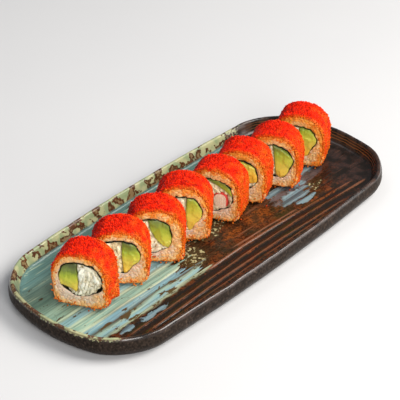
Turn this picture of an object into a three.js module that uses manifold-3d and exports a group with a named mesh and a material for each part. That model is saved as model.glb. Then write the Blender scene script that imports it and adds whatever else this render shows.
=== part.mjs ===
// A long stoneware tray with eight slices of an inside-out sushi roll standing on it in a row.
// Millimetres, +Z up. The origin is under the middle of the tray, on the surface that it stands on.
// +X runs along the tray. The slices' cut faces look towards -X and -Y.
import * as THREE from "three";
import { mergeVertices } from "three/addons/utils/BufferGeometryUtils.js";
import Module from "manifold-3d";

// Tray
const TRAY_LENGTH = 348;
const TRAY_WIDTH = 150;
const TRAY_HEIGHT = 18.7;
const CORNER_RADIUS = 34;
const LONG_SIDE_BOW = 6; // how far the corners stand back from the middle of a long side
const SHORT_SIDE_BOW = 18.5; // and from the middle of a short side
const FLOOR_HEIGHT = 8;
const RIDGE_HEIGHT = 0.35; // combed ridges along the floor, above and below its mean height
const FOOT_RECESS = 1.4; // the underside inside the foot ring stands this far off the table

// Slices of the roll
const SLICE_PITCH = 36.3;
const SLICE_DEPTH = 24.4;
const ROE_SIDE = 2;
const ROE_TOP = 2.6;
const ROE_BOTTOM = 1.2;
const ROE_BUMP = 0.5;
const RICE_BUMP = 0.4;
const CRAB_BUMP = 0.6;
const NORI_THICKNESS = 0.6;
const GAP = 0.3; // clear air between neighbouring pieces

// Each slice has its own place and size, as a hand-cut and hand-set row has.
// shift is along the tray from the even pitch, aside across it, turn the angle of the slice's axis
// from +X. core is the seaweed ring: its size and how far its middle lies to the right and up.
// avocado is the stretch of that ring, in degrees from the right, that the avocado fills, with how
// far its inner edge bulges.
const SLICES = [
  { shift: 0, aside: 5.5, turn: 24, width: 43.5, height: 47,
    core: { across: 33.5, tall: 29, right: 1, up: 1 }, avocado: { from: 99, to: 272, bulge: -1 } },
  { shift: 0.7, aside: 5.5, turn: 39, width: 44, height: 47.5,
    core: { across: 32, tall: 28, right: 0, up: 1 }, avocado: { from: -80, to: 82, bulge: 0.5 } },
  { shift: 2, aside: 4.5, turn: 39, width: 44.5, height: 48,
    core: { across: 30, tall: 30.5, right: -2, up: -0.5 }, avocado: { from: -52, to: 79, bulge: 3 } },
  { shift: 1, aside: 8, turn: 35, width: 44, height: 49.5,
    core: { across: 32, tall: 30, right: 0, up: 0 }, avocado: { from: -76, to: 76, bulge: 1 } },
  { shift: 3, aside: 5.5, turn: 21, width: 44, height: 47,
    core: { across: 32, tall: 29, right: 0, up: -0.5 }, avocado: { from: 4, to: 112, bulge: -1 } },
  { shift: 0, aside: 7.5, turn: 24.5, width: 44, height: 47.5,
    core: { across: 31.5, tall: 29, right: -1, up: 0 }, avocado: { from: -46, to: 94, bulge: 2 } },
  { shift: -2.5, aside: 2.5, turn: 26, width: 44, height: 48.5,
    core: { across: 33, tall: 29.5, right: 1, up: -0.5 }, avocado: { from: -73, to: 92, bulge: 1 } },
  { shift: 0.5, aside: 5.5, turn: 24, width: 44, height: 48,
    core: { across: 31.5, tall: 27, right: 0, up: -0.5 }, avocado: { from: -75, to: 88, bulge: 1 } },
];
// The fifth slice also shows a stick of red-skinned fish cake.
const STICK = { slice: 5, across: 12.5, tall: 13.5, right: 5.5, up: -3.5 };

const COLOURS = {
  tray: { color: 0x4a3f35, roughness: 0.35, metalness: 0 },
  roe: { color: 0xf2521b, roughness: 0.35, metalness: 0 },
  rice: { color: 0xf0d2bf, roughness: 0.6, metalness: 0 },
  nori: { color: 0x14150f, roughness: 0.6, metalness: 0 },
  avocado: { color: 0xc4cc52, roughness: 0.5, metalness: 0 },
  crab: { color: 0xf1ecdd, roughness: 0.6, metalness: 0 },
  stick: { color: 0xf4c9c0, roughness: 0.5, metalness: 0 },
};

const wasm = await Module();
wasm.setup();

// Even draws from 0 to 1, the same on every run.
const DRAW_FACTOR = 48271;
const DRAW_RANGE = 2 ** 31 - 1;
const SEED_STEP = 7919;

function drawsFrom(seed) {
  let state = seed * SEED_STEP;
  return () => {
    state = (state * DRAW_FACTOR) % DRAW_RANGE;
    return state / DRAW_RANGE;
  };
}

function meshOf(name, kind, geometry) {
  const mesh = new THREE.Mesh(geometry, new THREE.MeshStandardMaterial(COLOURS[kind]));
  mesh.name = name;
  return mesh;
}

function geometryOf(points, triangles) {
  const geometry = new THREE.BufferGeometry();
  geometry.setAttribute("position", new THREE.Float32BufferAttribute(points.flat(), 3));
  geometry.setIndex(triangles.flat());
  geometry.computeVertexNormals();
  return geometry;
}

// Closed rows of points, one after the other, joined by triangles. With wrap the last row meets the
// first, as on a ring.
function stitch(rows, wrap) {
  const count = rows[0].length;
  const triangles = [];
  const last = wrap ? rows.length : rows.length - 1;
  for (let r = 0; r < last; r++) {
    const here = r * count;
    const next = ((r + 1) % rows.length) * count;
    for (let i = 0; i < count; i++) {
      const j = (i + 1) % count;
      triangles.push([here + i, here + j, next + j], [here + i, next + j, next + i]);
    }
  }
  return triangles;
}

// TRAY
// The outline is a rounded rectangle whose sides bow outwards. A station is a place on it: a point
// of the straight-sided core and the direction in which the corner arc leaves that point.
const ARC_STEPS = 4; // in half a corner
const LONG_STEPS = 12;
const SHORT_STEPS = 8;

function sideStations(sideIndex) {
  const facing = (sideIndex - 1) * 90;
  const coreX = TRAY_LENGTH / 2 - CORNER_RADIUS;
  const coreY = TRAY_WIDTH / 2 - CORNER_RADIUS;
  const long = sideIndex % 2 === 0;
  const half = long ? coreX : coreY;
  const out = long ? coreY : coreX;
  const steps = long ? LONG_STEPS : SHORT_STEPS;
  const stations = [];
  const place = (along, angle) => {
    const turn = THREE.MathUtils.degToRad(facing);
    const core = new THREE.Vector2(out, along).rotateAround(new THREE.Vector2(), turn);
    const arc = THREE.MathUtils.degToRad(facing + angle);
    stations.push({ core, normal: new THREE.Vector2(Math.cos(arc), Math.sin(arc)) });
  };
  for (let i = 0; i < ARC_STEPS; i++) place(-half, -45 + (45 * i) / ARC_STEPS);
  for (let i = 0; i <= steps; i++) place(-half + (2 * half * i) / steps, 0);
  for (let i = 1; i < ARC_STEPS; i++) place(half, (45 * i) / ARC_STEPS);
  return stations;
}

const STATIONS = [0, 1, 2, 3].flatMap(sideStations);

function outlinePoint(station, inset, height) {
  const x = station.core.x + station.normal.x * (CORNER_RADIUS - inset);
  const y = station.core.y + station.normal.y * (CORNER_RADIUS - inset);
  const endwise = x / (TRAY_LENGTH / 2 - inset);
  const sidewise = y / (TRAY_WIDTH / 2 - inset);
  return [
    x - SHORT_SIDE_BOW * endwise * sidewise ** 2,
    y - LONG_SIDE_BOW * sidewise * endwise ** 2,
    height,
  ];
}

// From the middle of the underside, out round the foot, up the wall, over the rim and down to the
// floor: how far in from the rim's edge, and how high.
const TRAY_PROFILE = [
  [19, FOOT_RECESS],
  [16.5, 0],
  [9, 0],
  [5, 1.8],
  [2, 6],
  [0.5, 11.5],
  [0, 16],
  [0.5, 17.8],
  [1.8, TRAY_HEIGHT],
  [3.4, 18.2],
  [5, 15],
  [7.2, 10.6],
  [10.5, FLOOR_HEIGHT + 0.2],
];

// The floor fills the last ring with rows along the tray, every other row raised as a ridge.
function floorGrid(ring) {
  const columns = LONG_STEPS + 2 * ARC_STEPS;
  const rows = SHORT_STEPS + 2 * ARC_STEPS;
  const near = (i) => i;
  const right = (j) => columns + j;
  const far = (i) => 2 * columns + rows - i;
  const left = (j) => (2 * columns + 2 * rows - j) % ring.length;
  const across = (j) => {
    const y = ring[right(j)][1];
    return (y - ring[right(0)][1]) / (ring[right(rows)][1] - ring[right(0)][1]);
  };
  const along = (i) => {
    const x = ring[near(i)][0];
    return (x - ring[0][0]) / (ring[columns][0] - ring[0][0]);
  };
  return { columns, rows, near, right, far, left, across, along };
}

function makeTray() {
  const rings = TRAY_PROFILE.map(([inset, height]) =>
    STATIONS.map((station) => outlinePoint(station, inset, height)),
  );
  const count = STATIONS.length;
  const points = rings.flat();
  const triangles = stitch(rings, false);
  const hub = points.push([0, 0, FOOT_RECESS]) - 1;
  for (let i = 0; i < count; i++) triangles.push([hub, (i + 1) % count, i]);

  const ring = rings[rings.length - 1];
  const first = (rings.length - 1) * count;
  const grid = floorGrid(ring);
  const { columns, rows } = grid;
  const index = [];
  for (let j = 0; j <= rows; j++) {
    index.push([]);
    for (let i = 0; i <= columns; i++) {
      if (j === 0) index[j].push(first + grid.near(i));
      else if (j === rows) index[j].push(first + grid.far(i));
      else if (i === 0) index[j].push(first + grid.left(j));
      else if (i === columns) index[j].push(first + grid.right(j));
      else {
        const u = grid.along(i);
        const v = grid.across(j);
        const blend = (k) =>
          (1 - v) * ring[grid.near(i)][k] + v * ring[grid.far(i)][k] +
          (1 - u) * ring[grid.left(j)][k] + u * ring[grid.right(j)][k] -
          (1 - u) * (1 - v) * ring[grid.near(0)][k] - u * (1 - v) * ring[grid.near(columns)][k] -
          (1 - u) * v * ring[grid.far(0)][k] - u * v * ring[grid.far(columns)][k];
        const ridge = j % 2 === 1 ? RIDGE_HEIGHT : -RIDGE_HEIGHT;
        index[j].push(points.push([blend(0), blend(1), FLOOR_HEIGHT + ridge]) - 1);
      }
    }
  }
  for (let j = 0; j < rows; j++) {
    for (let i = 0; i < columns; i++) {
      const [a, b] = [index[j][i], index[j][i + 1]];
      const [c, d] = [index[j + 1][i + 1], index[j + 1][i]];
      triangles.push([a, b, c], [a, c, d]);
    }
  }
  return meshOf("tray", "tray", geometryOf(points, triangles));
}

// SLICES
// In a slice's own frame +X is to the right across the cut face, +Y goes into the slice and +Z is up.
const TOP_ROUNDNESS = 2.3;
const FOOT_SQUARENESS = 4;
const RING_ROUNDNESS = 2.2;
const STICK_ROUNDNESS = 2.6;
const STICK_SIDES = 14;
const CORE_SIDES = 24;
const SKIN_SIDES = 28;
const EDGE_STEPS = 4; // along the avocado's inner edge
const RESTING_SINE = -0.8; // the skin is flat below this sine of the angle from the roll's axis

const power = (value, exponent) => Math.sign(value) * Math.abs(value) ** exponent;

// A point of the roll's section: arched on top and squarer below, where it rests.
function sectionPoint(angle, across, tall, up) {
  const shape = Math.sin(angle) >= 0 ? TOP_ROUNDNESS : FOOT_SQUARENESS;
  return [
    (across / 2) * power(Math.cos(angle), 2 / shape),
    up + (tall / 2) * power(Math.sin(angle), 2 / shape),
  ];
}

// A point of the seaweed ring, or of a ring that lies inset from it.
function ringPoint(angle, core, inset) {
  return [
    core.right + (core.across / 2 - inset) * power(Math.cos(angle), 2 / RING_ROUNDNESS),
    core.up + (core.tall / 2 - inset) * power(Math.sin(angle), 2 / RING_ROUNDNESS),
  ];
}

// A closed ring of stuff round the roll's axis. outer and inner give a point of the section for an
// angle. bump moves the outer skin in and out, and faceBump the two cut faces.
function sleeve(outer, inner, options) {
  const { sides, skinSteps, faceSteps, bump, faceBump, random } = options;
  const front = -SLICE_DEPTH / 2;
  const loops = [];
  for (let i = 0; i < sides; i++) {
    const angle = (2 * Math.PI * (i + 0.5)) / sides;
    const [ox, oz] = outer(angle);
    const [ix, iz] = inner(angle);
    const loop = [];
    const lift = () => {
      const out = 1 + (bump * (2 * random() - 1)) / Math.hypot(ox, oz);
      const flat = Math.sin(angle) < RESTING_SINE;
      return flat ? [ox, oz] : [ox * out, oz * out];
    };
    const face = (share) => [ox + (ix - ox) * share, oz + (iz - oz) * share];
    for (let k = 0; k <= skinSteps; k++) {
      const [x, z] = lift();
      loop.push([x, front + (SLICE_DEPTH * k) / skinSteps, z]);
    }
    for (let k = 1; k < faceSteps; k++) {
      const [x, z] = face(k / faceSteps);
      loop.push([x, -front - faceBump * random(), z]);
    }
    loop.push([ix, -front, iz], [ix, front, iz]);
    for (let k = faceSteps - 1; k > 0; k--) {
      const [x, z] = face(k / faceSteps);
      loop.push([x, front + faceBump * random(), z]);
    }
    loops.push(loop);
  }
  return geometryOf(loops.flat(), stitch(loops, true));
}

// A bar of filling right through the slice, from a closed outline in the section.
function bar(outline, overrun) {
  const depth = SLICE_DEPTH + 2 * overrun;
  const shape = new THREE.Shape(outline.map(([x, z]) => new THREE.Vector2(x, z)));
  const geometry = new THREE.ExtrudeGeometry(shape, { depth, steps: 1, bevelEnabled: false });
  return geometry.rotateX(Math.PI / 2).translate(0, depth / 2, 0);
}

const coreAngle = (i) => (2 * Math.PI * i) / CORE_SIDES;

// The whole of what the seaweed holds, with its two cut faces crumbled.
function fillingBlock(core, random) {
  const inset = NORI_THICKNESS + GAP;
  const front = -SLICE_DEPTH / 2;
  const shares = [0.5, 1];
  const ringAt = (share, depth, crumble) => {
    const ring = [];
    for (let i = 0; i < CORE_SIDES; i++) {
      const [x, z] = ringPoint(coreAngle(i), core, inset);
      const middle = [core.right + (x - core.right) * share, core.up + (z - core.up) * share];
      ring.push([middle[0], depth + crumble * random(), middle[1]]);
    }
    return ring;
  };
  const rows = [
    ringAt(shares[0], front, CRAB_BUMP),
    ringAt(shares[1], front, 0),
    ringAt(shares[1], -front, 0),
    ringAt(shares[0], -front, -CRAB_BUMP),
  ];
  const points = rows.flat();
  const triangles = stitch(rows, false).map(([a, b, c]) => [a, c, b]);
  const frontHub = points.push([core.right, front, core.up]) - 1;
  const backHub = points.push([core.right, -front, core.up]) - 1;
  const lastRow = (rows.length - 1) * CORE_SIDES;
  for (let i = 0; i < CORE_SIDES; i++) {
    const j = (i + 1) % CORE_SIDES;
    triangles.push([frontHub, i, j], [backHub, lastRow + j, lastRow + i]);
  }
  return geometryOf(points, triangles);
}

// The avocado fills a stretch of the ring, closed on the inside by a bulging edge.
function avocadoOutline({ core, avocado }, grow) {
  const inset = NORI_THICKNESS + GAP - grow;
  const from = THREE.MathUtils.degToRad(avocado.from);
  const to = THREE.MathUtils.degToRad(avocado.to);
  const arcSteps = Math.ceil(((avocado.to - avocado.from) * CORE_SIDES) / 360);
  const outline = [];
  for (let i = 0; i <= arcSteps; i++) {
    outline.push(ringPoint(from + ((to - from) * i) / arcSteps, core, inset));
  }
  const [start, end] = [outline[arcSteps], outline[0]];
  const along = [end[0] - start[0], end[1] - start[1]];
  const length = Math.hypot(...along);
  const skipped = grow ? 0 : 1;
  for (let i = skipped; i <= EDGE_STEPS - skipped; i++) {
    const share = i / EDGE_STEPS;
    const out = avocado.bulge * Math.sin(Math.PI * share) + grow;
    outline.push([
      start[0] + along[0] * share + (out * along[1]) / length,
      start[1] + along[1] * share - (out * along[0]) / length,
    ]);
  }
  return outline;
}

function stickOutline(grow) {
  const outline = [];
  for (let i = 0; i < STICK_SIDES; i++) {
    const angle = (2 * Math.PI * i) / STICK_SIDES;
    outline.push([
      STICK.right + (STICK.across / 2 + grow) * power(Math.cos(angle), 2 / STICK_ROUNDNESS),
      STICK.up + (STICK.tall / 2 + grow) * power(Math.sin(angle), 2 / STICK_ROUNDNESS),
    ]);
  }
  return outline;
}

function solidOf(geometry) {
  const bare = geometry.index ? geometry.toNonIndexed() : geometry.clone();
  bare.deleteAttribute("normal");
  bare.deleteAttribute("uv");
  const merged = mergeVertices(bare, 1e-4);
  return new wasm.Manifold(
    new wasm.Mesh({
      numProp: 3,
      vertProperties: merged.attributes.position.array,
      triVerts: new Uint32Array(merged.index.array),
    }),
  );
}

function cutAway(geometry, cutters) {
  const solid = cutters.reduce((body, cutter) => body.subtract(solidOf(cutter)), solidOf(geometry));
  const largest = solid.decompose().sort((a, b) => b.volume() - a.volume())[0];
  const mesh = largest.getMesh();
  const cut = new THREE.BufferGeometry();
  cut.setAttribute("position", new THREE.Float32BufferAttribute(mesh.vertProperties, 3));
  cut.setIndex(Array.from(mesh.triVerts));
  cut.computeVertexNormals();
  return cut;
}

function makeSlice(slice, number) {
  const random = drawsFrom(number);
  const { width, height, core } = slice;
  const group = new THREE.Group();
  const add = (kind, geometry) => group.add(meshOf(`${kind}_${number}`, kind, geometry));

  const roeOut = (angle) => sectionPoint(angle, width, height, 0);
  const inside = (gap) => (angle) => {
    const across = width - 2 * (ROE_SIDE + gap);
    const tall = height - ROE_TOP - ROE_BOTTOM - 2 * gap;
    return sectionPoint(angle, across, tall, (ROE_BOTTOM - ROE_TOP) / 2);
  };
  const skin = {
    sides: SKIN_SIDES,
    skinSteps: 6,
    faceSteps: 1,
    bump: ROE_BUMP,
    faceBump: 0,
    random,
  };
  add("roe", sleeve(roeOut, inside(0), skin));

  const ricePacked = {
    sides: SKIN_SIDES,
    skinSteps: 1,
    faceSteps: 2,
    bump: 0,
    faceBump: RICE_BUMP,
    random,
  };
  const riceHole = (angle) => ringPoint(angle, core, -GAP);
  add("rice", sleeve(inside(GAP), riceHole, ricePacked));

  const sheet = { sides: CORE_SIDES, skinSteps: 1, faceSteps: 1, bump: 0, faceBump: 0, random };
  const noriOut = (angle) => ringPoint(angle, core, 0);
  const noriIn = (angle) => ringPoint(angle, core, NORI_THICKNESS);
  add("nori", sleeve(noriOut, noriIn, sheet));

  add("avocado", bar(avocadoOutline(slice, 0), 0));
  const cutters = [bar(avocadoOutline(slice, GAP), 1)];
  if (number === STICK.slice) {
    group.add(meshOf(`stick_${number}`, "stick", bar(stickOutline(0), 0)));
    cutters.push(bar(stickOutline(GAP), 1));
  }
  add("crab", cutAway(fillingBlock(core, random), cutters));

  const middle = (SLICES.length - 1) / 2;
  const along = (number - 1 - middle) * SLICE_PITCH + slice.shift;
  group.position.set(along, slice.aside, FLOOR_HEIGHT + RIDGE_HEIGHT + GAP + height / 2);
  group.rotation.z = THREE.MathUtils.degToRad(slice.turn - 90);
  return group;
}

const roll = new THREE.Group();
roll.add(makeTray());
SLICES.forEach((slice, i) => roll.add(makeSlice(slice, i + 1)));

export default roll;
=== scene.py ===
import math

import bpy
import numpy as np
from mathutils import Matrix, Vector, geometry, noise


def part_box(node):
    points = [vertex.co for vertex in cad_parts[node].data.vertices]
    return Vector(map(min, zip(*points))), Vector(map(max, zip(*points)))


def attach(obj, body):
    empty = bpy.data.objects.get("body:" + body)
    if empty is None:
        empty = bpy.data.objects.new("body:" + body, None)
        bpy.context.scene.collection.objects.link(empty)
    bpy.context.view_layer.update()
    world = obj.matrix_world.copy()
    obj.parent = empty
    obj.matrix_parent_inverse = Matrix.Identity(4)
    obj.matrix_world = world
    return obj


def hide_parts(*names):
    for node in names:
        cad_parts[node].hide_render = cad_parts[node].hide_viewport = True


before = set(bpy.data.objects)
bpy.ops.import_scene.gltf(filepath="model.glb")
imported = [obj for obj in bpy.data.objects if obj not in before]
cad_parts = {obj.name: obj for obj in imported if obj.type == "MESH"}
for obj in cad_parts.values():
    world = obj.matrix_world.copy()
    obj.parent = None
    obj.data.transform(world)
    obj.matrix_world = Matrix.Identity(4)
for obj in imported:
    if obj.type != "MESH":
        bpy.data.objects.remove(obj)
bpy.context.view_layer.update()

# Camera
# It looks down along the row from the near left, from a little over a metre away through a long
# lens, as the photograph does.
PHOTO_SIDE = 400  # pixels
FOCAL_LENGTH = 1502  # pixels
SENSOR = 36  # mm
AZIMUTH = math.radians(-49.05)
ELEVATION = math.radians(33.5)
DISTANCE = 1.215  # metres, from the point that it aims at
AIM = Vector((0.0342, 0.0358, 0.0))

lens = bpy.data.cameras.new("camera")
lens.sensor_width = SENSOR
lens.lens = FOCAL_LENGTH * SENSOR / PHOTO_SIDE
lens.clip_start = 0.05
lens.clip_end = 20
camera = bpy.data.objects.new("camera", lens)
level = math.cos(ELEVATION)
back = Vector((math.sin(AZIMUTH) * level, -math.cos(AZIMUTH) * level, math.sin(ELEVATION)))
right = Vector((math.cos(AZIMUTH), math.sin(AZIMUTH), 0.0))
up = back.cross(right)
facing = Matrix((right, up, back)).transposed().to_4x4()
camera.matrix_world = Matrix.Translation(AIM + back * DISTANCE) @ facing
bpy.context.collection.objects.link(camera)
bpy.context.scene.camera = camera
bpy.context.scene.view_settings.view_transform = "Standard"


# Studio
# A plain pale floor under four square soft lights: a large key from the right, a low one beside it
# that catches the tray's edge, a broad fill from the left and a weak one from behind. The sky is
# weak and even.
def put(tree, kind, inputs=None, **settings):
    """Adds a node. inputs gives a socket, by name or number, a value or another node's output."""
    made = tree.nodes.new(kind)
    for name, value in settings.items():
        setattr(made, name, value)
    for name, value in (inputs or {}).items():
        socket = made.inputs[name]
        if isinstance(value, bpy.types.NodeSocket):
            tree.links.new(value, socket)
        else:
            socket.default_value = value
    return made


def new_material(name):
    material = bpy.data.materials.new(name)
    material.use_nodes = True
    tree = material.node_tree
    surface = tree.nodes["Principled BSDF"]
    return material, tree, surface


def mesh_object(name, vertices, faces):
    mesh = bpy.data.meshes.new(name)
    mesh.from_pydata([tuple(v) for v in vertices], [], [tuple(f) for f in faces])
    mesh.update()
    made = bpy.data.objects.new(name, mesh)
    bpy.context.collection.objects.link(made)
    return made


FLOOR_REACH = 3.0  # metres
FLOOR_GREYS = [(0.60, 0.60, 0.61, 1), (0.66, 0.66, 0.66, 1)]
SKY = {"Color": (0.93, 0.96, 1.0, 1), "Strength": 0.24}
# Size in metres, watts, bearing and height in degrees, distance in metres, colour.
LIGHTS = {
    "key": (0.9, 28, 38, 47, 1.5, (1.0, 0.97, 0.93)),
    "low": (0.5, 3.2, 42, 13, 1.5, (1.0, 0.98, 0.96)),
    "fill": (0.8, 23, -32, 30, 1.8, (1.0, 0.98, 0.96)),
    "top": (0.7, 3, 178, 66, 1.6, (0.97, 0.98, 1.0)),
}

corners = [(x * FLOOR_REACH, y * FLOOR_REACH, 0.0) for x, y in ((-1, -1), (1, -1), (1, 1), (-1, 1))]
floor = mesh_object("floor", corners, [(0, 1, 2, 3)])
floor_material, tree, surface = new_material("studio_floor")
place = put(tree, "ShaderNodeTexCoord")
cloud = put(tree, "ShaderNodeTexNoise", {"Vector": place.outputs["Object"], "Scale": 3.0, "Detail": 4.0})
pale = put(tree, "ShaderNodeValToRGB", {"Fac": cloud.outputs["Fac"]})
for element, grey in zip(pale.color_ramp.elements, FLOOR_GREYS):
    element.color = grey
tree.links.new(pale.outputs["Color"], surface.inputs["Base Color"])
surface.inputs["Roughness"].default_value = 0.7
floor.data.materials.append(floor_material)

world = bpy.data.worlds.new("studio")
world.use_nodes = True
for name, value in SKY.items():
    world.node_tree.nodes["Background"].inputs[name].default_value = value
bpy.context.scene.world = world


def soft_light(name, size, watts, bearing, height, distance, tint):
    """A square light, its bearing in degrees round the object as the camera's azimuth is."""
    data = bpy.data.lights.new(name, "AREA")
    data.size = size
    data.energy = watts
    data.color = tint
    light = bpy.data.objects.new(name, data)
    a = math.radians(bearing)
    e = math.radians(height)
    away = Vector((math.sin(a) * math.cos(e), -math.cos(a) * math.cos(e), math.sin(e)))
    aimed = away.to_track_quat("Z", "Y").to_matrix().to_4x4()
    light.matrix_world = Matrix.Translation(away * distance) @ aimed
    bpy.context.collection.objects.link(light)


for name, light in LIGHTS.items():
    soft_light(name, *light)

# Tray
# A long stoneware dish with a low rounded rim, pressed in a mould and combed lengthways while the
# clay was soft. Its reactive glaze ran from celadon and sky blue at one end to iron brown at the
# other, and broke to rust along the rim. It is fired in one piece.
MM = 0.001
TRAY_LENGTH = 348
TRAY_WIDTH = 150
CORNER_RADIUS = 34
LONG_SIDE_BOW = 6
SHORT_SIDE_BOW = 18.5
FLOOR_HEIGHT = 8
RIDGE_HEIGHT = 0.35
ARC_STEPS = 20
LONG_STEPS = 90
SHORT_STEPS = 190
COLUMNS = LONG_STEPS + 2 * ARC_STEPS
ROWS = SHORT_STEPS + 2 * ARC_STEPS
PROFILE_STEPS = 46
CURVE_STEPS = 20

# Distance in from the rim's edge and height, from the middle of the underside round the foot, up
# the wall, over the rim and down to the floor.
TRAY_PROFILE = [
    (19, 1.4), (17.4, 1.3), (16.2, 0.1), (15.5, 0), (10, 0), (8, 0.2), (5, 1.7), (2.2, 4.6), (0.5, 8),
    (0, 10.5), (0.3, 13), (0.8, 15.6), (1.4, 17.6), (2.4, 18.6), (3.6, 18.5), (4.9, 16.4), (6.4, 12.4),
    (8.1, 9.4), (10.5, 8.2),
]


def smooth_path(points, count):
    """Points evenly spaced along a curve through the given ones."""
    known = np.array(points, float)
    padded = np.vstack([2 * known[0] - known[1], known, 2 * known[-1] - known[-2]])
    dense = []
    for i in range(len(known) - 1):
        p0, p1, p2, p3 = padded[i : i + 4]
        for t in np.linspace(0, 1, CURVE_STEPS, endpoint=False):
            a = 2 * p1 + (p2 - p0) * t + (2 * p0 - 5 * p1 + 4 * p2 - p3) * t * t
            dense.append((a + (3 * p1 - p0 - 3 * p2 + p3) * t**3) / 2)
    dense.append(known[-1])
    dense = np.array(dense)
    run = np.concatenate([[0], np.cumsum(np.linalg.norm(np.diff(dense, axis=0), axis=1))])
    marks = np.linspace(0, run[-1], count)
    return np.stack([np.interp(marks, run, dense[:, 0]), np.interp(marks, run, dense[:, 1])], 1)


def side_stations(side):
    """One side of the outline: points of its straight core, and the way the corner arcs face."""
    facing = math.radians((side - 1) * 90)
    core = (TRAY_LENGTH / 2 - CORNER_RADIUS, TRAY_WIDTH / 2 - CORNER_RADIUS)
    long_side = side % 2 == 0
    half, out = core if long_side else core[::-1]
    steps = LONG_STEPS if long_side else SHORT_STEPS
    arc = np.radians(45) * np.arange(ARC_STEPS) / ARC_STEPS
    straight = np.linspace(-half, half, steps + 1)
    along = np.concatenate([np.full(ARC_STEPS, -half), straight, np.full(ARC_STEPS - 1, half)])
    angle = np.concatenate([arc - np.radians(45), np.zeros(steps + 1), arc[1:]])
    turned = np.array([[math.cos(facing), -math.sin(facing)], [math.sin(facing), math.cos(facing)]])
    cores = np.stack([np.full_like(along, out), along], 1) @ turned.T
    normals = np.stack([np.cos(facing + angle), np.sin(facing + angle)], 1)
    return np.hstack([cores, normals])


stations = np.vstack([side_stations(side) for side in range(4)])


def outline(inset):
    """The tray's bowed outline, that far inside its widest edge."""
    point = stations[:, :2] + stations[:, 2:] * (CORNER_RADIUS - inset)
    endwise = point[:, 0] / (TRAY_LENGTH / 2 - inset)
    sidewise = point[:, 1] / (TRAY_WIDTH / 2 - inset)
    x = point[:, 0] - SHORT_SIDE_BOW * endwise * sidewise**2
    y = point[:, 1] - LONG_SIDE_BOW * sidewise * endwise**2
    return np.stack([x, y], 1)


# Raised lines drawn along the floor with a comb, by the places they pass: height, width, places.
COMB_LINES = [
    (1.0, 1.0, [(-144, -48), (0, -46.8), (60, -48.5), (140, -54)]),
    (1.1, 1.0, [(-130, -55), (-60, -53.5), (20, -54.5), (110, -59)]),
    (0.9, 0.9, [(-118, -58.5), (0, -59), (80, -61)]),
    (0.8, 1.0, [(-50, -38.5), (0, -38.5), (50, -41), (130, -47)]),
    (0.6, 0.8, [(-14, -34), (30, -36), (72, -39)]),
    (0.4, 1.6, [(-154, -22), (-80, -21)]),
    (0.35, 1.5, [(-158, 2), (-60, 4)]),
    (0.35, 1.5, [(-90, -10.5), (-58, -10.5)]),
    (0.35, 1.6, [(-150, 28), (40, 30)]),
    (0.35, 1.6, [(-146, 44), (90, 43)]),
    (0.3, 1.4, [(-140, 54), (60, 55)]),
]
SCORED_LINE = (-0.35, 0.5, [(0, -23), (48, -30), (110, -33.5), (160, -36)])
COMBED_TROUGH = (-62, -39, 0.45)  # from, to and depth of the worked strip beside the near rim


def comb_height(x, y):
    """How far the combed lines raise or lower the floor there."""
    height = np.zeros_like(x)
    for rise, width, places in COMB_LINES + [SCORED_LINE]:
        px, py = np.array(places, float).T
        centre = np.interp(x, px, py)
        ends = np.clip((x - px[0]) / 12, 0, 1) * np.clip((px[-1] - x) / 12, 0, 1)
        height += rise * ends * np.exp(-(((y - centre) / width) ** 2))
    low, high, depth = COMBED_TROUGH
    inside = np.clip((y - low) / 3, 0, 1) * np.clip((high - y) / 4, 0, 1)
    return height - depth * inside * np.clip((x + 150) / 20, 0, 1) * np.clip((130 - x) / 30, 0, 1)


def waver(points, scale, seed=0.0):
    """Smooth noise from about -1 to 1 at each point, in millimetres."""
    shift = Vector((seed, -seed, seed * 0.5))
    return np.array([noise.noise(Vector(p) * scale + shift) for p in points])


def bumps(flat, scale, seed):
    """The same smooth noise at points of a plane."""
    return waver(np.hstack([flat, np.zeros((len(flat), 1))]), scale, seed)


# Marks of the brush along the floor: their stretch, how close they lie, seed and height in mm.
BRUSH_MARKS = [((0.09, 1.0), 0.33, 3.0, 0.34), ((0.06, 1.0), 0.75, 6.0, 0.2)]
# How the rim and wall waver in and out: how close together, seed and reach in mm.
WALL_WAVERS = [(0.11, 5.0, 0.25), (0.03, 7.0, 0.3), (0.45, 11.0, 0.16)]


def floor_grid(edge):
    """Points spread over the floor between the four sides of its edge, and how far in they lie."""
    near = edge[: COLUMNS + 1]
    right_side = edge[COLUMNS : COLUMNS + ROWS + 1]
    far = edge[COLUMNS + ROWS : 2 * COLUMNS + ROWS + 1][::-1]
    left = np.vstack([edge[2 * COLUMNS + ROWS :], edge[:1]])[::-1]
    u = ((near[:, 0] - near[0, 0]) / (near[-1, 0] - near[0, 0]))[None, :, None]
    v = ((right_side[:, 1] - right_side[0, 1]) / (right_side[-1, 1] - right_side[0, 1]))[:, None, None]
    grid = (1 - v) * near[None] + v * far[None] + (1 - u) * left[:, None] + u * right_side[:, None]
    grid -= (1 - u) * (1 - v) * near[0] + u * (1 - v) * near[-1] + (1 - u) * v * far[0] + u * v * far[-1]
    inward = np.minimum(np.minimum(u, 1 - u) * TRAY_LENGTH, np.minimum(v, 1 - v) * TRAY_WIDTH)
    return grid[1:-1, 1:-1].reshape(-1, 2), inward[1:-1, 1:-1].reshape(-1)


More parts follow.
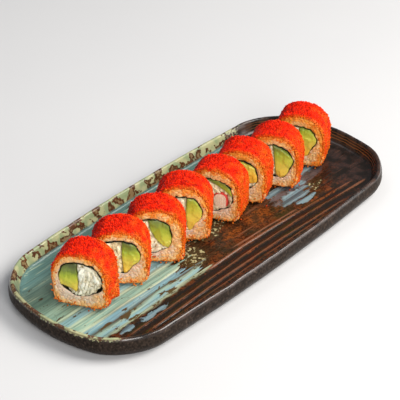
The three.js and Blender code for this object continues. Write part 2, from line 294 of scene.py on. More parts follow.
def tray_faces(count, hub):
    """Faces over the profile's rings, over the floor's grid and under the tray's middle."""
    faces = []
    for r in range(PROFILE_STEPS - 1):
        for i in range(count):
            j = (i + 1) % count
            faces.append((r * count + i, r * count + j, (r + 1) * count + j, (r + 1) * count + i))
    last = (PROFILE_STEPS - 1) * count
    index = np.zeros((ROWS + 1, COLUMNS + 1), int)
    index[0] = last + np.arange(COLUMNS + 1)
    index[:, -1] = last + COLUMNS + np.arange(ROWS + 1)
    index[-1] = last + COLUMNS + ROWS + np.arange(COLUMNS + 1)[::-1]
    index[:, 0] = last + (2 * COLUMNS + ROWS + np.arange(ROWS + 1)[::-1]) % count
    index[1:-1, 1:-1] = np.arange(last + count, hub).reshape(ROWS - 1, COLUMNS - 1)
    for j in range(ROWS):
        for i in range(COLUMNS):
            faces.append((index[j, i], index[j, i + 1], index[j + 1, i + 1], index[j + 1, i]))
    return faces + [(hub, (i + 1) % count, i) for i in range(count)]


def build_tray():
    profile = smooth_path(TRAY_PROFILE, PROFILE_STEPS)
    count = len(stations)
    rings = [np.hstack([outline(inset), np.full((count, 1), height)]) for inset, height in profile]
    inner, inward = floor_grid(rings[-1][:, :2])
    settle = np.clip(inward / 6, 0, 1)
    brushed = sum(bumps(inner * stretch, scale, seed) * high for stretch, scale, seed, high in BRUSH_MARKS)
    worked = np.clip((inner[:, 1] - COMBED_TROUGH[1]) / 8, 0, 1)
    comb = comb_height(inner[:, 0], inner[:, 1]) + brushed * (0.35 + 0.65 * worked)
    fine = 0.06 * bumps(inner, 0.35, 9.0)
    heights = FLOOR_HEIGHT + 0.2 * (1 - settle) + settle * (comb + fine)
    middle = [[0, 0, profile[0][1]]]
    points = np.vstack(rings + [np.hstack([inner, heights[:, None]]), middle])
    first_inner = PROFILE_STEPS * count

    # The rim and the wall are a little uneven, most of all along the outer shoulder.
    run = np.repeat(np.arange(PROFILE_STEPS), count) / (PROFILE_STEPS - 1)
    shell = points[:first_inner]
    uneven = sum(waver(shell, scale, seed) * reach for scale, seed, reach in WALL_WAVERS)
    uneven *= np.clip((shell[:, 2] - 2) / 6, 0, 1) * np.clip((1 - run) * 12, 0, 1)
    shell[:, :2] += np.tile(stations[:, 2:], (PROFILE_STEPS, 1)) * uneven[:, None]
    shell[:, 2] += waver(shell, 0.05, 13.0) * 0.25 * np.clip((shell[:, 2] - 10) / 8, 0, 1)

    made = mesh_object("tray_glazed", points * MM, tray_faces(count, len(points) - 1))
    wall = np.zeros(len(points))
    wall[:first_inner] = np.clip((1 - run) * 3.2, 0, 2)
    ridge = np.zeros(len(points))
    ridge[first_inner:-1] = settle * comb
    set_values(made, wall=wall, ridge=ridge)
    made.data.shade_smooth()
    return made


def set_values(piece, **values):
    """Gives each point of a piece values that its material or its grains read."""
    count = len(piece.data.vertices)
    for name, value in values.items():
        each = np.broadcast_to(np.asarray(value, float), count).astype(np.float32)
        piece.data.attributes.new(name, "FLOAT", "POINT").data.foreach_set("value", each)


tray = build_tray()


def blend_colours(tree, share, low, high):
    """Mixes two colours, each a socket or a value, by a share that is a socket."""
    mix = put(tree, "ShaderNodeMix", data_type="RGBA")
    tree.links.new(share, mix.inputs[0])
    for socket, value in ((mix.inputs[6], low), (mix.inputs[7], high)):
        if isinstance(value, bpy.types.NodeSocket):
            tree.links.new(value, socket)
        else:
            socket.default_value = (*value, 1)
    return mix.outputs[2]


def work_out(tree, operation, first, second=0.0, clamp=False):
    inputs = {0: first, 1: second}
    return put(tree, "ShaderNodeMath", inputs, operation=operation, use_clamp=clamp).outputs[0]


def product(tree, first, second):
    return work_out(tree, "MULTIPLY", first, second)


def added(tree, first, second):
    return work_out(tree, "ADD", first, second)


def work_out_vector(tree, operation, first, second):
    return put(tree, "ShaderNodeVectorMath", {0: first, 1: second}, operation=operation).outputs[0]


def mesh_value(tree, name):
    """A value that the mesh holds at each of its points."""
    return put(tree, "ShaderNodeAttribute", attribute_name=name).outputs["Fac"]


def paint(tree, colour, share, coat, strength=1.0):
    """Lays another colour over one where share says, at most as strongly as strength."""
    if strength < 1:
        share = product(tree, share, strength)
    return blend_colours(tree, share, colour, coat)


def fade(tree, value, low, high):
    """0 below low and 1 above high, smoothly."""
    inputs = {"Value": value, "From Min": low, "From Max": high}
    return put(tree, "ShaderNodeMapRange", inputs, interpolation_type="SMOOTHSTEP").outputs[0]


def grain_noise(tree, vector, scale, detail=3.0, stretch=None, roughness=0.5):
    if stretch:
        vector = work_out_vector(tree, "MULTIPLY", vector, stretch)
    inputs = {"Vector": vector, "Scale": scale, "Detail": detail, "Roughness": roughness}
    return put(tree, "ShaderNodeTexNoise", inputs).outputs


# Patches where the glaze pooled in another colour: middle and reach, along and across, in mm.
BLUE_PATCHES = [
    (-108, -43.5, 15, 3), (-134, -41.5, 8, 2.5), (70, -11, 13, 4), (80, -25, 16, 6), (82, -35.5, 12, 2.6),
    (115, -8, 12, 4.5), (98, -16, 9, 4),
]
MAUVE_PATCHES = [(84, -19, 24, 10), (112, -12, 16, 8)]
RUST_PATCHES = [(38, -22, 15, 7), (90, -43, 24, 4), (5, -22, 14, 5), (133, -20, 13, 7), (10, -45, 40, 2)]
FLECKED_PATCHES = [(-38, -16, 11, 13), (-8, -7, 17, 6), (102, -27, 7, 6), (14, -4, 8, 5)]
# The combed bands of the celadon end, from the near edge to the far one: place across, colour.
# The darker greens from 24 mm back are partly the glaze's own colour and partly painted shadow, for the
# shade that falls behind the row of slices.
CELADON_BANDS = [
    (-40, (0.10, 0.09, 0.05)), (-37, (0.33, 0.38, 0.25)), (-34, (0.20, 0.36, 0.40)),
    (-30.5, (0.29, 0.42, 0.34)), (-28.4, (0.06, 0.045, 0.025)), (-26.5, (0.18, 0.33, 0.38)),
    (-22.6, (0.17, 0.31, 0.36)), (-21, (0.50, 0.57, 0.39)), (-19, (0.28, 0.41, 0.32)),
    (-13, (0.19, 0.32, 0.26)), (-10.5, (0.42, 0.50, 0.35)), (-7.5, (0.22, 0.38, 0.40)),
    (-1, (0.18, 0.32, 0.34)), (2, (0.44, 0.52, 0.36)), (5, (0.22, 0.35, 0.27)), (12, (0.31, 0.45, 0.34)),
    (24, (0.12, 0.20, 0.14)), (38, (0.17, 0.26, 0.20)), (50, (0.13, 0.25, 0.23)), (62, (0.10, 0.19, 0.17)),
]


def scaled(tree, value, factor, plus=0.0):
    made = put(tree, "ShaderNodeMath", {0: value, 1: factor, 2: plus}, operation="MULTIPLY_ADD")
    return made.outputs[0]


def patches(tree, warped, places):
    """A mask of all the patches in a list, with soft ragged edges."""
    ragged = scaled(tree, grain_noise(tree, warped, 0.3, 4.0, (0.5, 1.4, 1), 0.65)["Fac"], 1.6, -0.8)
    total = None
    for x, y, reach_x, reach_y in places:
        off = work_out_vector(tree, "SUBTRACT", warped, (x, y, 0))
        off = work_out_vector(tree, "MULTIPLY", off, (1 / reach_x, 1 / reach_y, 0))
        far = put(tree, "ShaderNodeVectorMath", {0: off}, operation="LENGTH").outputs["Value"]
        mask = fade(tree, added(tree, far, ragged), 1.1, 0.8)
        total = mask if total is None else work_out(tree, "MAXIMUM", total, mask)
    return total


def colour_ramp(tree, share, stops):
    """Colours by a share from 0 to 1."""
    ramp = put(tree, "ShaderNodeValToRGB", {"Fac": share})
    while len(ramp.color_ramp.elements) < len(stops):
        ramp.color_ramp.elements.new(0.5)
    for element, (position, colour) in zip(ramp.color_ramp.elements, stops):
        element.position = position
        element.color = (*colour, 1)
    return ramp.outputs["Color"]


def celadon_glaze(tree, mm, y, thread, fine, ridge):
    """Bands of celadon and blue with dark and pale threads, broken to brown towards the near rim. The darker
    bands behind the row are partly painted shadow, and the threads are paler on the ridges, partly as
    painted highlight.
    """
    wander = grain_noise(tree, mm, 1.0, 3.0, (0.018, 0.10, 0.1))["Fac"]
    across = added(tree, y, scaled(tree, wander, 9.0, -4.5))
    low, high = CELADON_BANDS[0][0], CELADON_BANDS[-1][0]
    share = scaled(tree, across, 1 / (high - low), -low / (high - low))
    stops = [((place - low) / (high - low), colour) for place, colour in CELADON_BANDS]
    colour = colour_ramp(tree, share, stops)
    colour = paint(tree, colour, fade(tree, thread, 0.5, 0.36), (0.075, 0.135, 0.112), 0.5)
    # Paler on the ridges: partly the glaze's own pale crests, partly painted highlight.
    pale = added(tree, thread, scaled(tree, ridge, 0.22))
    colour = paint(tree, colour, fade(tree, pale, 0.58, 0.72), (0.46, 0.53, 0.36), 0.75)
    broken = grain_noise(tree, mm, 1.0, 5.0, (0.07, 0.20, 0.1), 0.65)["Fac"]
    broken = added(tree, broken, scaled(tree, fade(tree, y, -12.0, -30.0), 0.085))
    colour = paint(tree, colour, fade(tree, broken, 0.63, 0.66), (0.07, 0.045, 0.02))
    return paint(tree, colour, fade(tree, fine, 0.66, 0.70), (0.08, 0.05, 0.02))


def brown_glaze(tree, mm, warped, x, streak, fine, cloudy, ridge):
    """Iron brown with rust, murk and flecks, and charcoal at the far end. The ridges are lighter rust and
    the troughs near black, partly glaze broken and pooled, partly painted highlight and shade.
    """
    grain = fade(tree, fine, 0.38, 0.62)
    colour = blend_colours(tree, grain, (0.011, 0.006, 0.003), (0.066, 0.027, 0.010))
    rust = product(tree, fade(tree, cloudy, 0.45, 0.62), fade(tree, fine, 0.36, 0.6))
    colour = paint(tree, colour, rust, (0.13, 0.030, 0.006), 0.7)
    rust = product(tree, patches(tree, warped, RUST_PATCHES), fade(tree, fine, 0.32, 0.6))
    colour = paint(tree, colour, rust, (0.20, 0.050, 0.008), 0.85)
    colour = paint(tree, colour, fade(tree, cloudy, 0.52, 0.40), (0.020, 0.013, 0.006), 0.75)
    flecked = patches(tree, warped, FLECKED_PATCHES)
    colour = paint(tree, colour, flecked, (0.045, 0.032, 0.012), 0.7)
    mauve = product(tree, patches(tree, warped, MAUVE_PATCHES), fade(tree, cloudy, 0.3, 0.6))
    colour = paint(tree, colour, mauve, (0.115, 0.100, 0.105), 0.8)
    clouds = fade(tree, cloudy, 0.42, 0.6)
    charcoal = blend_colours(tree, clouds, (0.007, 0.005, 0.004), (0.026, 0.016, 0.014))
    colour = paint(tree, colour, fade(tree, x, 95, 140), charcoal, 0.85)
    # Ridge crests lighter and troughs darker: partly the glaze's own breaking and pooling, partly painted
    # highlight and painted shade.
    colour = paint(tree, colour, fade(tree, ridge, 0.12, 0.45), (0.20, 0.078, 0.038), 0.8)
    colour = paint(tree, colour, fade(tree, ridge, -0.08, -0.3), (0.010, 0.007, 0.005), 0.9)
    blob = grain_noise(tree, mm, 0.42, 3.0)["Fac"]
    fleck = product(tree, fade(tree, blob, 0.56, 0.61), flecked)
    colour = paint(tree, colour, fleck, (0.36, 0.33, 0.17))
    streaks = fade(tree, streak, 0.38, 0.58)
    pool = blend_colours(tree, streaks, (0.055, 0.075, 0.085), (0.17, 0.26, 0.29))
    pool = paint(tree, pool, fade(tree, ridge, 0.1, 0.4), (0.40, 0.46, 0.42))
    pooled = product(tree, patches(tree, warped, BLUE_PATCHES), fade(tree, fine, 0.24, 0.42))
    return paint(tree, colour, pooled, pool)


def rim_glaze(tree, mm, wall, fine, cloudy):
    """Cream broken by rust blotches where the floor is celadon, purple brown elsewhere."""
    apart = put(tree, "ShaderNodeSeparateXYZ", {0: mm}).outputs
    clouds = fade(tree, cloudy, 0.4, 0.6)
    cream = blend_colours(tree, clouds, (0.27, 0.32, 0.17), (0.44, 0.43, 0.23))
    rust = blend_colours(tree, fade(tree, fine, 0.4, 0.6), (0.058, 0.022, 0.009), (0.135, 0.052, 0.022))
    blotch = grain_noise(tree, mm, 0.12, 4.0, None, 0.55)["Fac"]
    blotch = added(tree, blotch, scaled(tree, fade(tree, wall, 0.95, 0.45), 0.05))
    cream = paint(tree, cream, fade(tree, blotch, 0.545, 0.565), rust)
    cream = paint(tree, cream, fade(tree, blotch, 0.62, 0.66), (0.27, 0.19, 0.09), 0.8)
    line = work_out(tree, "ABSOLUTE", scaled(tree, wall, 1.0, -1.02))
    cream = paint(tree, cream, fade(tree, line, 0.06, 0.02), (0.10, 0.045, 0.02), 0.6)

    brown = blend_colours(tree, clouds, (0.010, 0.007, 0.006), (0.050, 0.026, 0.018))
    wave = scaled(tree, added(tree, wall, scaled(tree, cloudy, 0.16)), 44.0)
    lines = fade(tree, work_out(tree, "SINE", wave), 0.35, 0.9)
    lines = product(tree, lines, fade(tree, wall, 0.8, 0.6))
    lines = product(tree, lines, fade(tree, apart["X"], 115.0, 150.0))
    brown = paint(tree, brown, lines, (0.21, 0.075, 0.022))

    # The border between the two slants across the rim and is ragged.
    lean = work_out(tree, "SUBTRACT", scaled(tree, apart["Y"], 2.18, -33.6), apart["X"])
    lean = added(tree, lean, scaled(tree, fine, 60.0, -30.0))
    return blend_colours(tree, fade(tree, lean, -6.0, 6.0), brown, cream)


def tray_glaze():
    material, tree, surface = new_material("tray_glaze")
    place = put(tree, "ShaderNodeTexCoord").outputs["Object"]
    mm = put(tree, "ShaderNodeVectorMath", {0: place, "Scale": 1 / MM}, operation="SCALE").outputs[0]
    drift = work_out_vector(tree, "SUBTRACT", grain_noise(tree, mm, 0.09, 4.0)["Color"], (0.5, 0.5, 0.5))
    drift = work_out_vector(tree, "MULTIPLY", drift, (30, 8, 0))
    warped = work_out_vector(tree, "ADD", mm, drift)
    apart = put(tree, "ShaderNodeSeparateXYZ", {0: warped}).outputs
    x, y = apart["X"], apart["Y"]
    plain_y = put(tree, "ShaderNodeSeparateXYZ", {0: mm}).outputs["Y"]
    streak = grain_noise(tree, mm, 1.0, 4.0, (0.012, 0.26, 0.2))["Fac"]
    thread = grain_noise(tree, mm, 1.0, 4.0, (0.022, 0.62, 0.5))["Fac"]
    fine = grain_noise(tree, mm, 0.55, 6.0, None, 0.6)["Fac"]
    cloudy = grain_noise(tree, mm, 0.1, 5.0)["Fac"]
    wall = mesh_value(tree, "wall")
    ridge = mesh_value(tree, "ridge")

    # The border runs across the floor in front of the third slice and slants behind the row.
    border = work_out(tree, "MAXIMUM", scaled(tree, y, 2.04, -22.5), -47.0)
    tongue = added(tree, scaled(tree, streak, 90.0, -45.0), scaled(tree, thread, 30.0, -15.0))
    beyond = added(tree, work_out(tree, "SUBTRACT", border, x), tongue)
    celadon_share = product(tree, fade(tree, beyond, -2.0, 2.0), fade(tree, y, -39.5, -37.5))
    brown = brown_glaze(tree, mm, warped, x, streak, fine, cloudy, ridge)
    celadon = celadon_glaze(tree, mm, plain_y, thread, fine, ridge)
    colour = blend_colours(tree, celadon_share, brown, celadon)
    colour = paint(tree, colour, fade(tree, wall, 0.22, 0.34), rim_glaze(tree, mm, wall, fine, cloudy))

    # The outside wall is nearly bare: dark stoneware, speckled with brown.
    grain = fade(tree, fine, 0.35, 0.65)
    outside = blend_colours(tree, grain, (0.010, 0.007, 0.005), (0.034, 0.023, 0.017))
    outside = paint(tree, outside, fade(tree, fine, 0.6, 0.7), (0.105, 0.073, 0.053), 0.7)
    edge = added(tree, wall, scaled(tree, fine, 0.5, -0.25))
    colour = paint(tree, colour, fade(tree, edge, 1.03, 1.1), outside)
    tree.links.new(colour, surface.inputs["Base Color"])

    inputs = {"Value": fine, "From Min": 0.3, "From Max": 0.7, "To Min": 0.12, "To Max": 0.28}
    rough = put(tree, "ShaderNodeMapRange", inputs).outputs[0]
    rough = added(tree, rough, scaled(tree, fade(tree, wall, 0.95, 1.1), 0.18))
    tree.links.new(rough, surface.inputs["Roughness"])
    height = added(tree, scaled(tree, thread, 0.8), scaled(tree, fine, 0.7))
    bump = put(tree, "ShaderNodeBump", {"Height": height, "Strength": 0.45, "Distance": 0.0008})
    tree.links.new(bump.outputs["Normal"], surface.inputs["Normal"])

    # The clear top of the glaze is thick inside, thickest along the rim and thin on the outer wall.
    wet = scaled(tree, fade(tree, wall, 0.95, 1.15), -0.5, 0.56)
    edge_line = product(tree, fade(tree, wall, 0.88, 0.96), fade(tree, wall, 1.16, 1.06))
    wet = work_out(tree, "ADD", wet, edge_line, clamp=True)
    tree.links.new(wet, surface.inputs["Coat Weight"])
    surface.inputs["Coat Roughness"].default_value = 0.2
    surface.inputs["Specular IOR Level"].default_value = 0.04
    return material


tray.data.materials.append(tray_glaze())
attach(tray, "root")
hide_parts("tray")

# Seaweed
# One sheet of roasted laver a slice, rolled round the filling and stuck by the damp of the rice. It
# is thin, black green and crinkled, and its cut edge stands a little proud. The slices were cut
# from one roll and set down by hand, each with its own turn and a slightly different section.
SLICE_DEPTH = 24.4
ROE_SIDE = 2
ROE_TOP = 2.6
ROE_BOTTOM = 1.2
GAP = 0.3
TOP_ROUNDNESS = 2.3
FOOT_SQUARENESS = 5.5
FOOT_SPREAD = 0.03  # how much wider the foot is, as a share
RING_ROUNDNESS = 2.2
SEAWEED_OUT = 0.03  # how far the sheet reaches outside its ring, and inside it
SEAWEED_IN = 0.38
SEAWEED_SIDES = 150
SEAWEED_ROWS = 9
SEAWEED_CRINKLE = 0.07  # mm
CRINKLE_SCALE = 0.5

# core is the seaweed ring: size, and how far its middle lies to the right and up. avocado is the
# stretch of the ring that it fills, in degrees from the right, and how far its inner edge bulges;
# corners are points that this edge passes through.
# dents are places where the seaweed stands off the filling, and pinches places where it is pressed
# inwards: middle, reach in degrees, depth. clumps are places where the roe bulges at the foot: middle
# and reach in degrees, middle and reach into the slice, and how far it stands out.
SLICES = [
    {
        "turn": 24, "width": 43.5, "height": 47, "core": (33.5, 29, 1, 1), "avocado": (97, 222, 0),
        "corners": [(-1.8, -9.6), (-1.2, -1.5)],
        "dents": [(224, 13, 2.2), (-28, 12, 2.6), (95, 26, 0.5)],
        "pinches": [(-62, 14, 1.2)],
        "clumps": [(-42, 22, 6, 4.5, 3.6), (-30, 14, -8, 3, 1.4)],
    },
    {
        "turn": 39, "width": 44, "height": 47.5, "core": (32, 28, 0, 1), "avocado": (-80, 82, 0.5),
        "dents": [(85, 12, 0.7), (28, 8, 0.7), (285, 9, 1.1), (250, 9, 0.8)],
        "pinches": [(-38, 22, 2.6), (-74, 12, -1.0)],
    },
    {
        "turn": 39, "width": 44.5, "height": 48, "core": (30, 30.5, -2, -0.5), "avocado": (-40, 100, 0),
        "corners": [(-3, 4.4), (0.8, -3.4), (5.7, -8.6)],
        "dents": [(100, 12, 0.9), (55, 16, 0.7), (12, 10, 1.3), (255, 12, 0.8)],
        "pinches": [(-60, 20, 1.0)],
        "clumps": [(-48, 18, -6, 5, 1.8)],
    },
    {
        "turn": 35, "width": 44, "height": 49.5, "core": (32, 30, 0, 0), "avocado": (-76, 76, 1),
        "dents": [(105, 10, 1.2), (88, 7, 1.2), (30, 18, 0.4), (-85, 9, 0.7)],
        "pinches": [(-34, 22, 2.2), (-70, 14, -1.0)],
    },
    {
        "turn": 21, "width": 44, "height": 47, "core": (32, 29, 0, -0.5), "avocado": (4, 112, -1),
        "dents": [(98, 12, 0.9), (40, 14, 0.6), (-70, 12, 0.8)],
        "pinches": [(-55, 18, 1.0)],
    },
    {
        "turn": 24.5, "width": 44, "height": 47.5, "core": (31.5, 29, -1, 0), "avocado": (-16, 94, 0),
        "corners": [(-4, 4), (2, -3.5), (7, -5.5)],
        "dents": [(66, 22, 1.9), (20, 10, 0.7), (-60, 10, 0.8)],
        "pinches": [(-40, 20, 1.6)],
    },
    {
        "turn": 26, "width": 44, "height": 48.5, "core": (33, 29.5, 1, -0.5), "avocado": (-74, 92, 0),
        "corners": [(2.2, 3), (3.2, -6), (3.4, -11.5)],
        "dents": [(48, 20, 1.9), (80, 10, 0.7), (-20, 9, 0.6), (-85, 9, 0.9)],
        "pinches": [(-30, 26, 1.2), (-62, 15, -1.0)],
        "clumps": [(-45, 18, -4, 5, 2.2)],
    },
    {
        "turn": 24, "width": 44, "height": 48, "core": (31.5, 27, 0, -0.5), "avocado": (-84, 88, 1),
        "dents": [(78, 14, 1.3), (40, 12, 0.9), (-20, 10, 0.6)],
        "pinches": [(-28, 24, 2.8), (-64, 14, -1.2)],
    },
]


def signed_power(value, exponent):
    return np.sign(value) * np.abs(value) ** exponent


def dips(angle, places):
    """The depth of all the dips at an angle round the ring."""
    total = np.zeros_like(angle)
    for middle, reach, depth in places:
        off = (np.degrees(angle) - middle + 180) % 360 - 180
        total += depth * np.exp(-((off / reach) ** 2))
    return total


def seaweed_wave(cut, angle):
    """How far the seaweed lies out from its even ring, in and out as it was rolled."""
    phase = cut["turn"] * 1.7 + cut["width"]
    slow = 0.28 * np.sin(5 * angle + phase) + 0.2 * np.sin(9 * angle + 2 * phase)
    kinks = 0.75 * np.maximum(np.sin(17 * angle + phase), 0) ** 6 * np.maximum(np.sin(angle), 0.1)
    return slow + kinks - dips(angle, cut["pinches"])


def ring(cut, angle, inset):
    """Points of the seaweed ring, or of a line that lies inset from it."""
    across, tall, right, up = cut["core"]
    inset = inset - seaweed_wave(cut, angle)
    x = right + (across / 2 - inset) * signed_power(np.cos(angle), 2 / RING_ROUNDNESS)
    return np.stack([x, up + (tall / 2 - inset) * signed_power(np.sin(angle), 2 / RING_ROUNDNESS)], -1)


def wrapped_sleeve(rows, sides, closed=True):
    """Faces over closed rows of points, the last row meeting the first where closed."""
    faces = []
    for r in range(rows if closed else rows - 1):
        here, beyond = r * sides, (r + 1) % rows * sides
        for i in range(sides):
            j = (i + 1) % sides
            faces.append((here + i, beyond + i, beyond + j, here + j))
    return faces


def slice_turn(cut):
    """The matrix that turns a slice's own frame to the way that it stands."""
    turn = math.radians(cut["turn"] - 90)
    c, s = math.cos(turn), math.sin(turn)
    return np.array([[c, s, 0], [-s, c, 0], [0, 0, 1]])


def standing(number, cut, points):
    """Points of a slice's own frame, put where the slice stands on the tray, in metres.

    In that frame +X is to the right across the cut face, +Y goes into the slice and +Z is up.
    """
    low, high = (np.array(corner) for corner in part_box(f"rice_{number}"))
    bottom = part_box(f"roe_{number}")[0][2]
    middle = [*((low + high) / 2)[:2], bottom + cut["height"] / 2 * MM]
    return points @ slice_turn(cut) * MM + middle


def at_depth(flat, depth):
    """Points of the section, that far into the slice."""
    return np.stack([flat[:, 0], np.broadcast_to(depth, len(flat)), flat[:, 1]], 1)


def seaweed_sheet(number, cut):
    angle = np.linspace(0, 2 * np.pi, SEAWEED_SIDES, endpoint=False)
    half = SLICE_DEPTH / 2
    rows = []
    for inset, way in ((-SEAWEED_OUT, 1), (SEAWEED_IN, -1)):
        for share in np.linspace(-1, 1, SEAWEED_ROWS) * way:
            at = ring(cut, angle, inset)
            deep = np.hstack([at, np.full((len(at), 1), share * half)])
            at = ring(cut, angle, inset - SEAWEED_CRINKLE * waver(deep, CRINKLE_SCALE, number))
            lip = 0.0
            if abs(share) == 1:
                lip = 0.9 * bumps(at, 0.16, number + share) + 0.55 * np.sin(angle) - 0.35
            rows.append(at_depth(at, share * half + np.sign(share) * lip))
    faces = wrapped_sleeve(len(rows), SEAWEED_SIDES)
    piece = mesh_object(f"seaweed_{number}", standing(number, cut, np.vstack(rows)), faces)
    piece.data.shade_smooth()
    return piece


def fine_relief_group():
    """Noise relief that several of the foods share: a normal and the noise itself."""
    tree = bpy.data.node_groups.new("fine_relief", "ShaderNodeTree")
    for name, default in (("Scale", 1000.0), ("Depth", 0.0002), ("Strength", 0.5)):
        socket = tree.interface.new_socket(name, in_out="INPUT", socket_type="NodeSocketFloat")
        socket.default_value = default
    tree.interface.new_socket("Normal", in_out="OUTPUT", socket_type="NodeSocketVector")
    tree.interface.new_socket("Noise", in_out="OUTPUT", socket_type="NodeSocketFloat")
    given = put(tree, "NodeGroupInput").outputs
    place = put(tree, "ShaderNodeTexCoord").outputs["Object"]
    inputs = {"Vector": place, "Scale": given["Scale"], "Detail": 4.0, "Roughness": 0.6}
    cloud = put(tree, "ShaderNodeTexNoise", inputs).outputs["Fac"]
    inputs = {"Height": cloud, "Distance": given["Depth"], "Strength": given["Strength"]}
    bump = put(tree, "ShaderNodeBump", inputs).outputs["Normal"]
    put(tree, "NodeGroupOutput", {"Normal": bump, "Noise": cloud})
    return tree


FINE_RELIEF = fine_relief_group()


def relief(tree, surface, scale, depth, strength):
    """Puts the shared relief in a material and gives its noise for the colours."""
    group = put(tree, "ShaderNodeGroup", node_tree=FINE_RELIEF)
    group.inputs["Scale"].default_value = scale
    group.inputs["Depth"].default_value = depth
    group.inputs["Strength"].default_value = strength
    tree.links.new(group.outputs["Normal"], surface.inputs["Normal"])
    return group.outputs["Noise"]


def vary_roughness(tree, surface, cloud, low, high):
    rough = put(tree, "ShaderNodeMapRange", {"Value": cloud, "To Min": low, "To Max": high}).outputs[0]
    tree.links.new(rough, surface.inputs["Roughness"])


def seaweed_finish():
    material, tree, surface = new_material("seaweed")
    cloud = relief(tree, surface, 900.0, 0.0004, 0.7)
    crests = fade(tree, cloud, 0.4, 0.65)
    colour = blend_colours(tree, crests, (0.004, 0.0045, 0.003), (0.016, 0.018, 0.010))
    tree.links.new(colour, surface.inputs["Base Color"])
    vary_roughness(tree, surface, cloud, 0.45, 0.7)
    surface.inputs["Specular IOR Level"].default_value = 0.1
    return material


seaweed_material = seaweed_finish()
for number, cut in enumerate(SLICES, 1):
    piece = seaweed_sheet(number, cut)
    piece.data.materials.append(seaweed_material)
    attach(piece, "root")
    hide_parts(f"nori_{number}")

# Rice
# Cooked short-grain rice, pressed on the outside of the seaweed while warm so that the grains stick
# together. Each cut face shows whole and cut grains, stained orange where the roe's juice soaks in.
GRAIN_SIZE = (5.0, 2.3, 2.0)
GRAIN_SPACING = 1.75
GRAIN_SINK = 0.32
RICE_SIDES = 120
RICE_BED_SPACING = 1.1
STAINS = [0.9, 0.9, 1.2, 1.1, 1.1, 1.3, 1.15, 1.8]  # how strongly each slice's rice is stained


def section(angle, across, tall, up):
    """Points of the roll's section, arched on top and squarer below, where it rests."""
    shape = np.where(np.sin(angle) >= 0, TOP_ROUNDNESS, FOOT_SQUARENESS)
    spread = 1 + FOOT_SPREAD * np.clip(-np.sin(angle), 0, 1) ** 2
    x = across / 2 * signed_power(np.cos(angle), 2 / shape) * spread
    return np.stack([x, up + tall / 2 * signed_power(np.sin(angle), 2 / shape)], -1)


def rice_edge(cut, angle, gap):
    across = cut["width"] - 2 * (ROE_SIDE + gap)
    tall = cut["height"] - ROE_TOP - ROE_BOTTOM - 2 * gap
    return section(angle, across, tall, (ROE_BOTTOM - ROE_TOP) / 2)


def inside(points, loop):
    """Which points lie inside a closed loop."""
    a, b = loop, np.roll(loop, -1, axis=0)
    px, py = points[:, :1], points[:, 1:]
    crosses = (a[:, 1] > py) != (b[:, 1] > py)
    rise = np.where(np.abs(b[:, 1] - a[:, 1]) < 1e-9, 1e-9, b[:, 1] - a[:, 1])
    at = a[:, 0] + (py - a[:, 1]) / rise * (b[:, 0] - a[:, 0])
    return np.count_nonzero(crosses & (px < at), axis=1) % 2 == 1


def nearest_on(points, loop):
    """For each point its distance from a closed loop, and the loop's direction there."""
    a = loop[None]
    along = np.roll(loop, -1, axis=0)[None] - a
    share = ((points[:, None] - a) * along).sum(-1) / np.maximum((along**2).sum(-1), 1e-12)
    foot = a + along * np.clip(share, 0, 1)[..., None]
    gap = np.sqrt(((foot - points[:, None]) ** 2).sum(-1))
    best = gap.argmin(1)
    way = along[0][best]
    return gap.min(1), way / np.maximum(np.linalg.norm(way, axis=1), 1e-9)[:, None]


def run_round(loop, clockwise=False):
    """The loop, turned so that it runs anticlockwise, or clockwise for a hole."""
    beyond = np.roll(loop, -1, axis=0)
    area = (loop[:, 0] * beyond[:, 1] - beyond[:, 0] * loop[:, 1]).sum()
    return loop[::-1] if (area < 0) != clockwise else loop


def fill_section(loops, spacing, random):
    """Fills a section with triangles. The first loop is its outline, the others are holes."""
    low, high = loops[0].min(0), loops[0].max(0)
    across = np.arange(low[0], high[0], spacing)
    upward = np.arange(low[1], high[1], spacing * 0.87)
    grid = np.stack(np.meshgrid(across, upward), -1)
    grid[1::2, :, 0] += spacing / 2
    grid = grid.reshape(-1, 2)
    grid = grid + random.uniform(-0.22, 0.22, grid.shape) * spacing
    keep = inside(grid, loops[0])
    for loop in loops:
        keep &= nearest_on(grid, loop)[0] > 0.55 * spacing
    for hole in loops[1:]:
        keep &= ~inside(grid, hole)
    points = np.vstack([*loops, grid[keep]])
    edges = []
    firsts = np.cumsum([0, *map(len, loops)])
    for first, loop in zip(firsts, loops):
        edges += [(first + i, first + (i + 1) % len(loop)) for i in range(len(loop))]
    made = geometry.delaunay_2d_cdt([Vector(p) for p in points], edges, [], 0, 1e-6)
    place = np.zeros(len(points), int)
    for new, olds in enumerate(made[3]):
        place[olds] = new
    flat = np.array([tuple(v) for v in made[0]])
    triangles = np.array(made[2])
    middle = flat[triangles].mean(1)
    keep = inside(middle, loops[0])
    for hole in loops[1:]:
        keep &= ~inside(middle, hole)
    triangles = triangles[keep]
    a, b, c = (flat[triangles[:, k]] for k in range(3))
    turned = (b[:, 0] - a[:, 0]) * (c[:, 1] - a[:, 1]) < (b[:, 1] - a[:, 1]) * (c[:, 0] - a[:, 0])
    triangles[turned] = triangles[turned][:, ::-1]
    return flat, triangles, [place[first : first + len(loop)] for first, loop in zip(firsts, loops)]


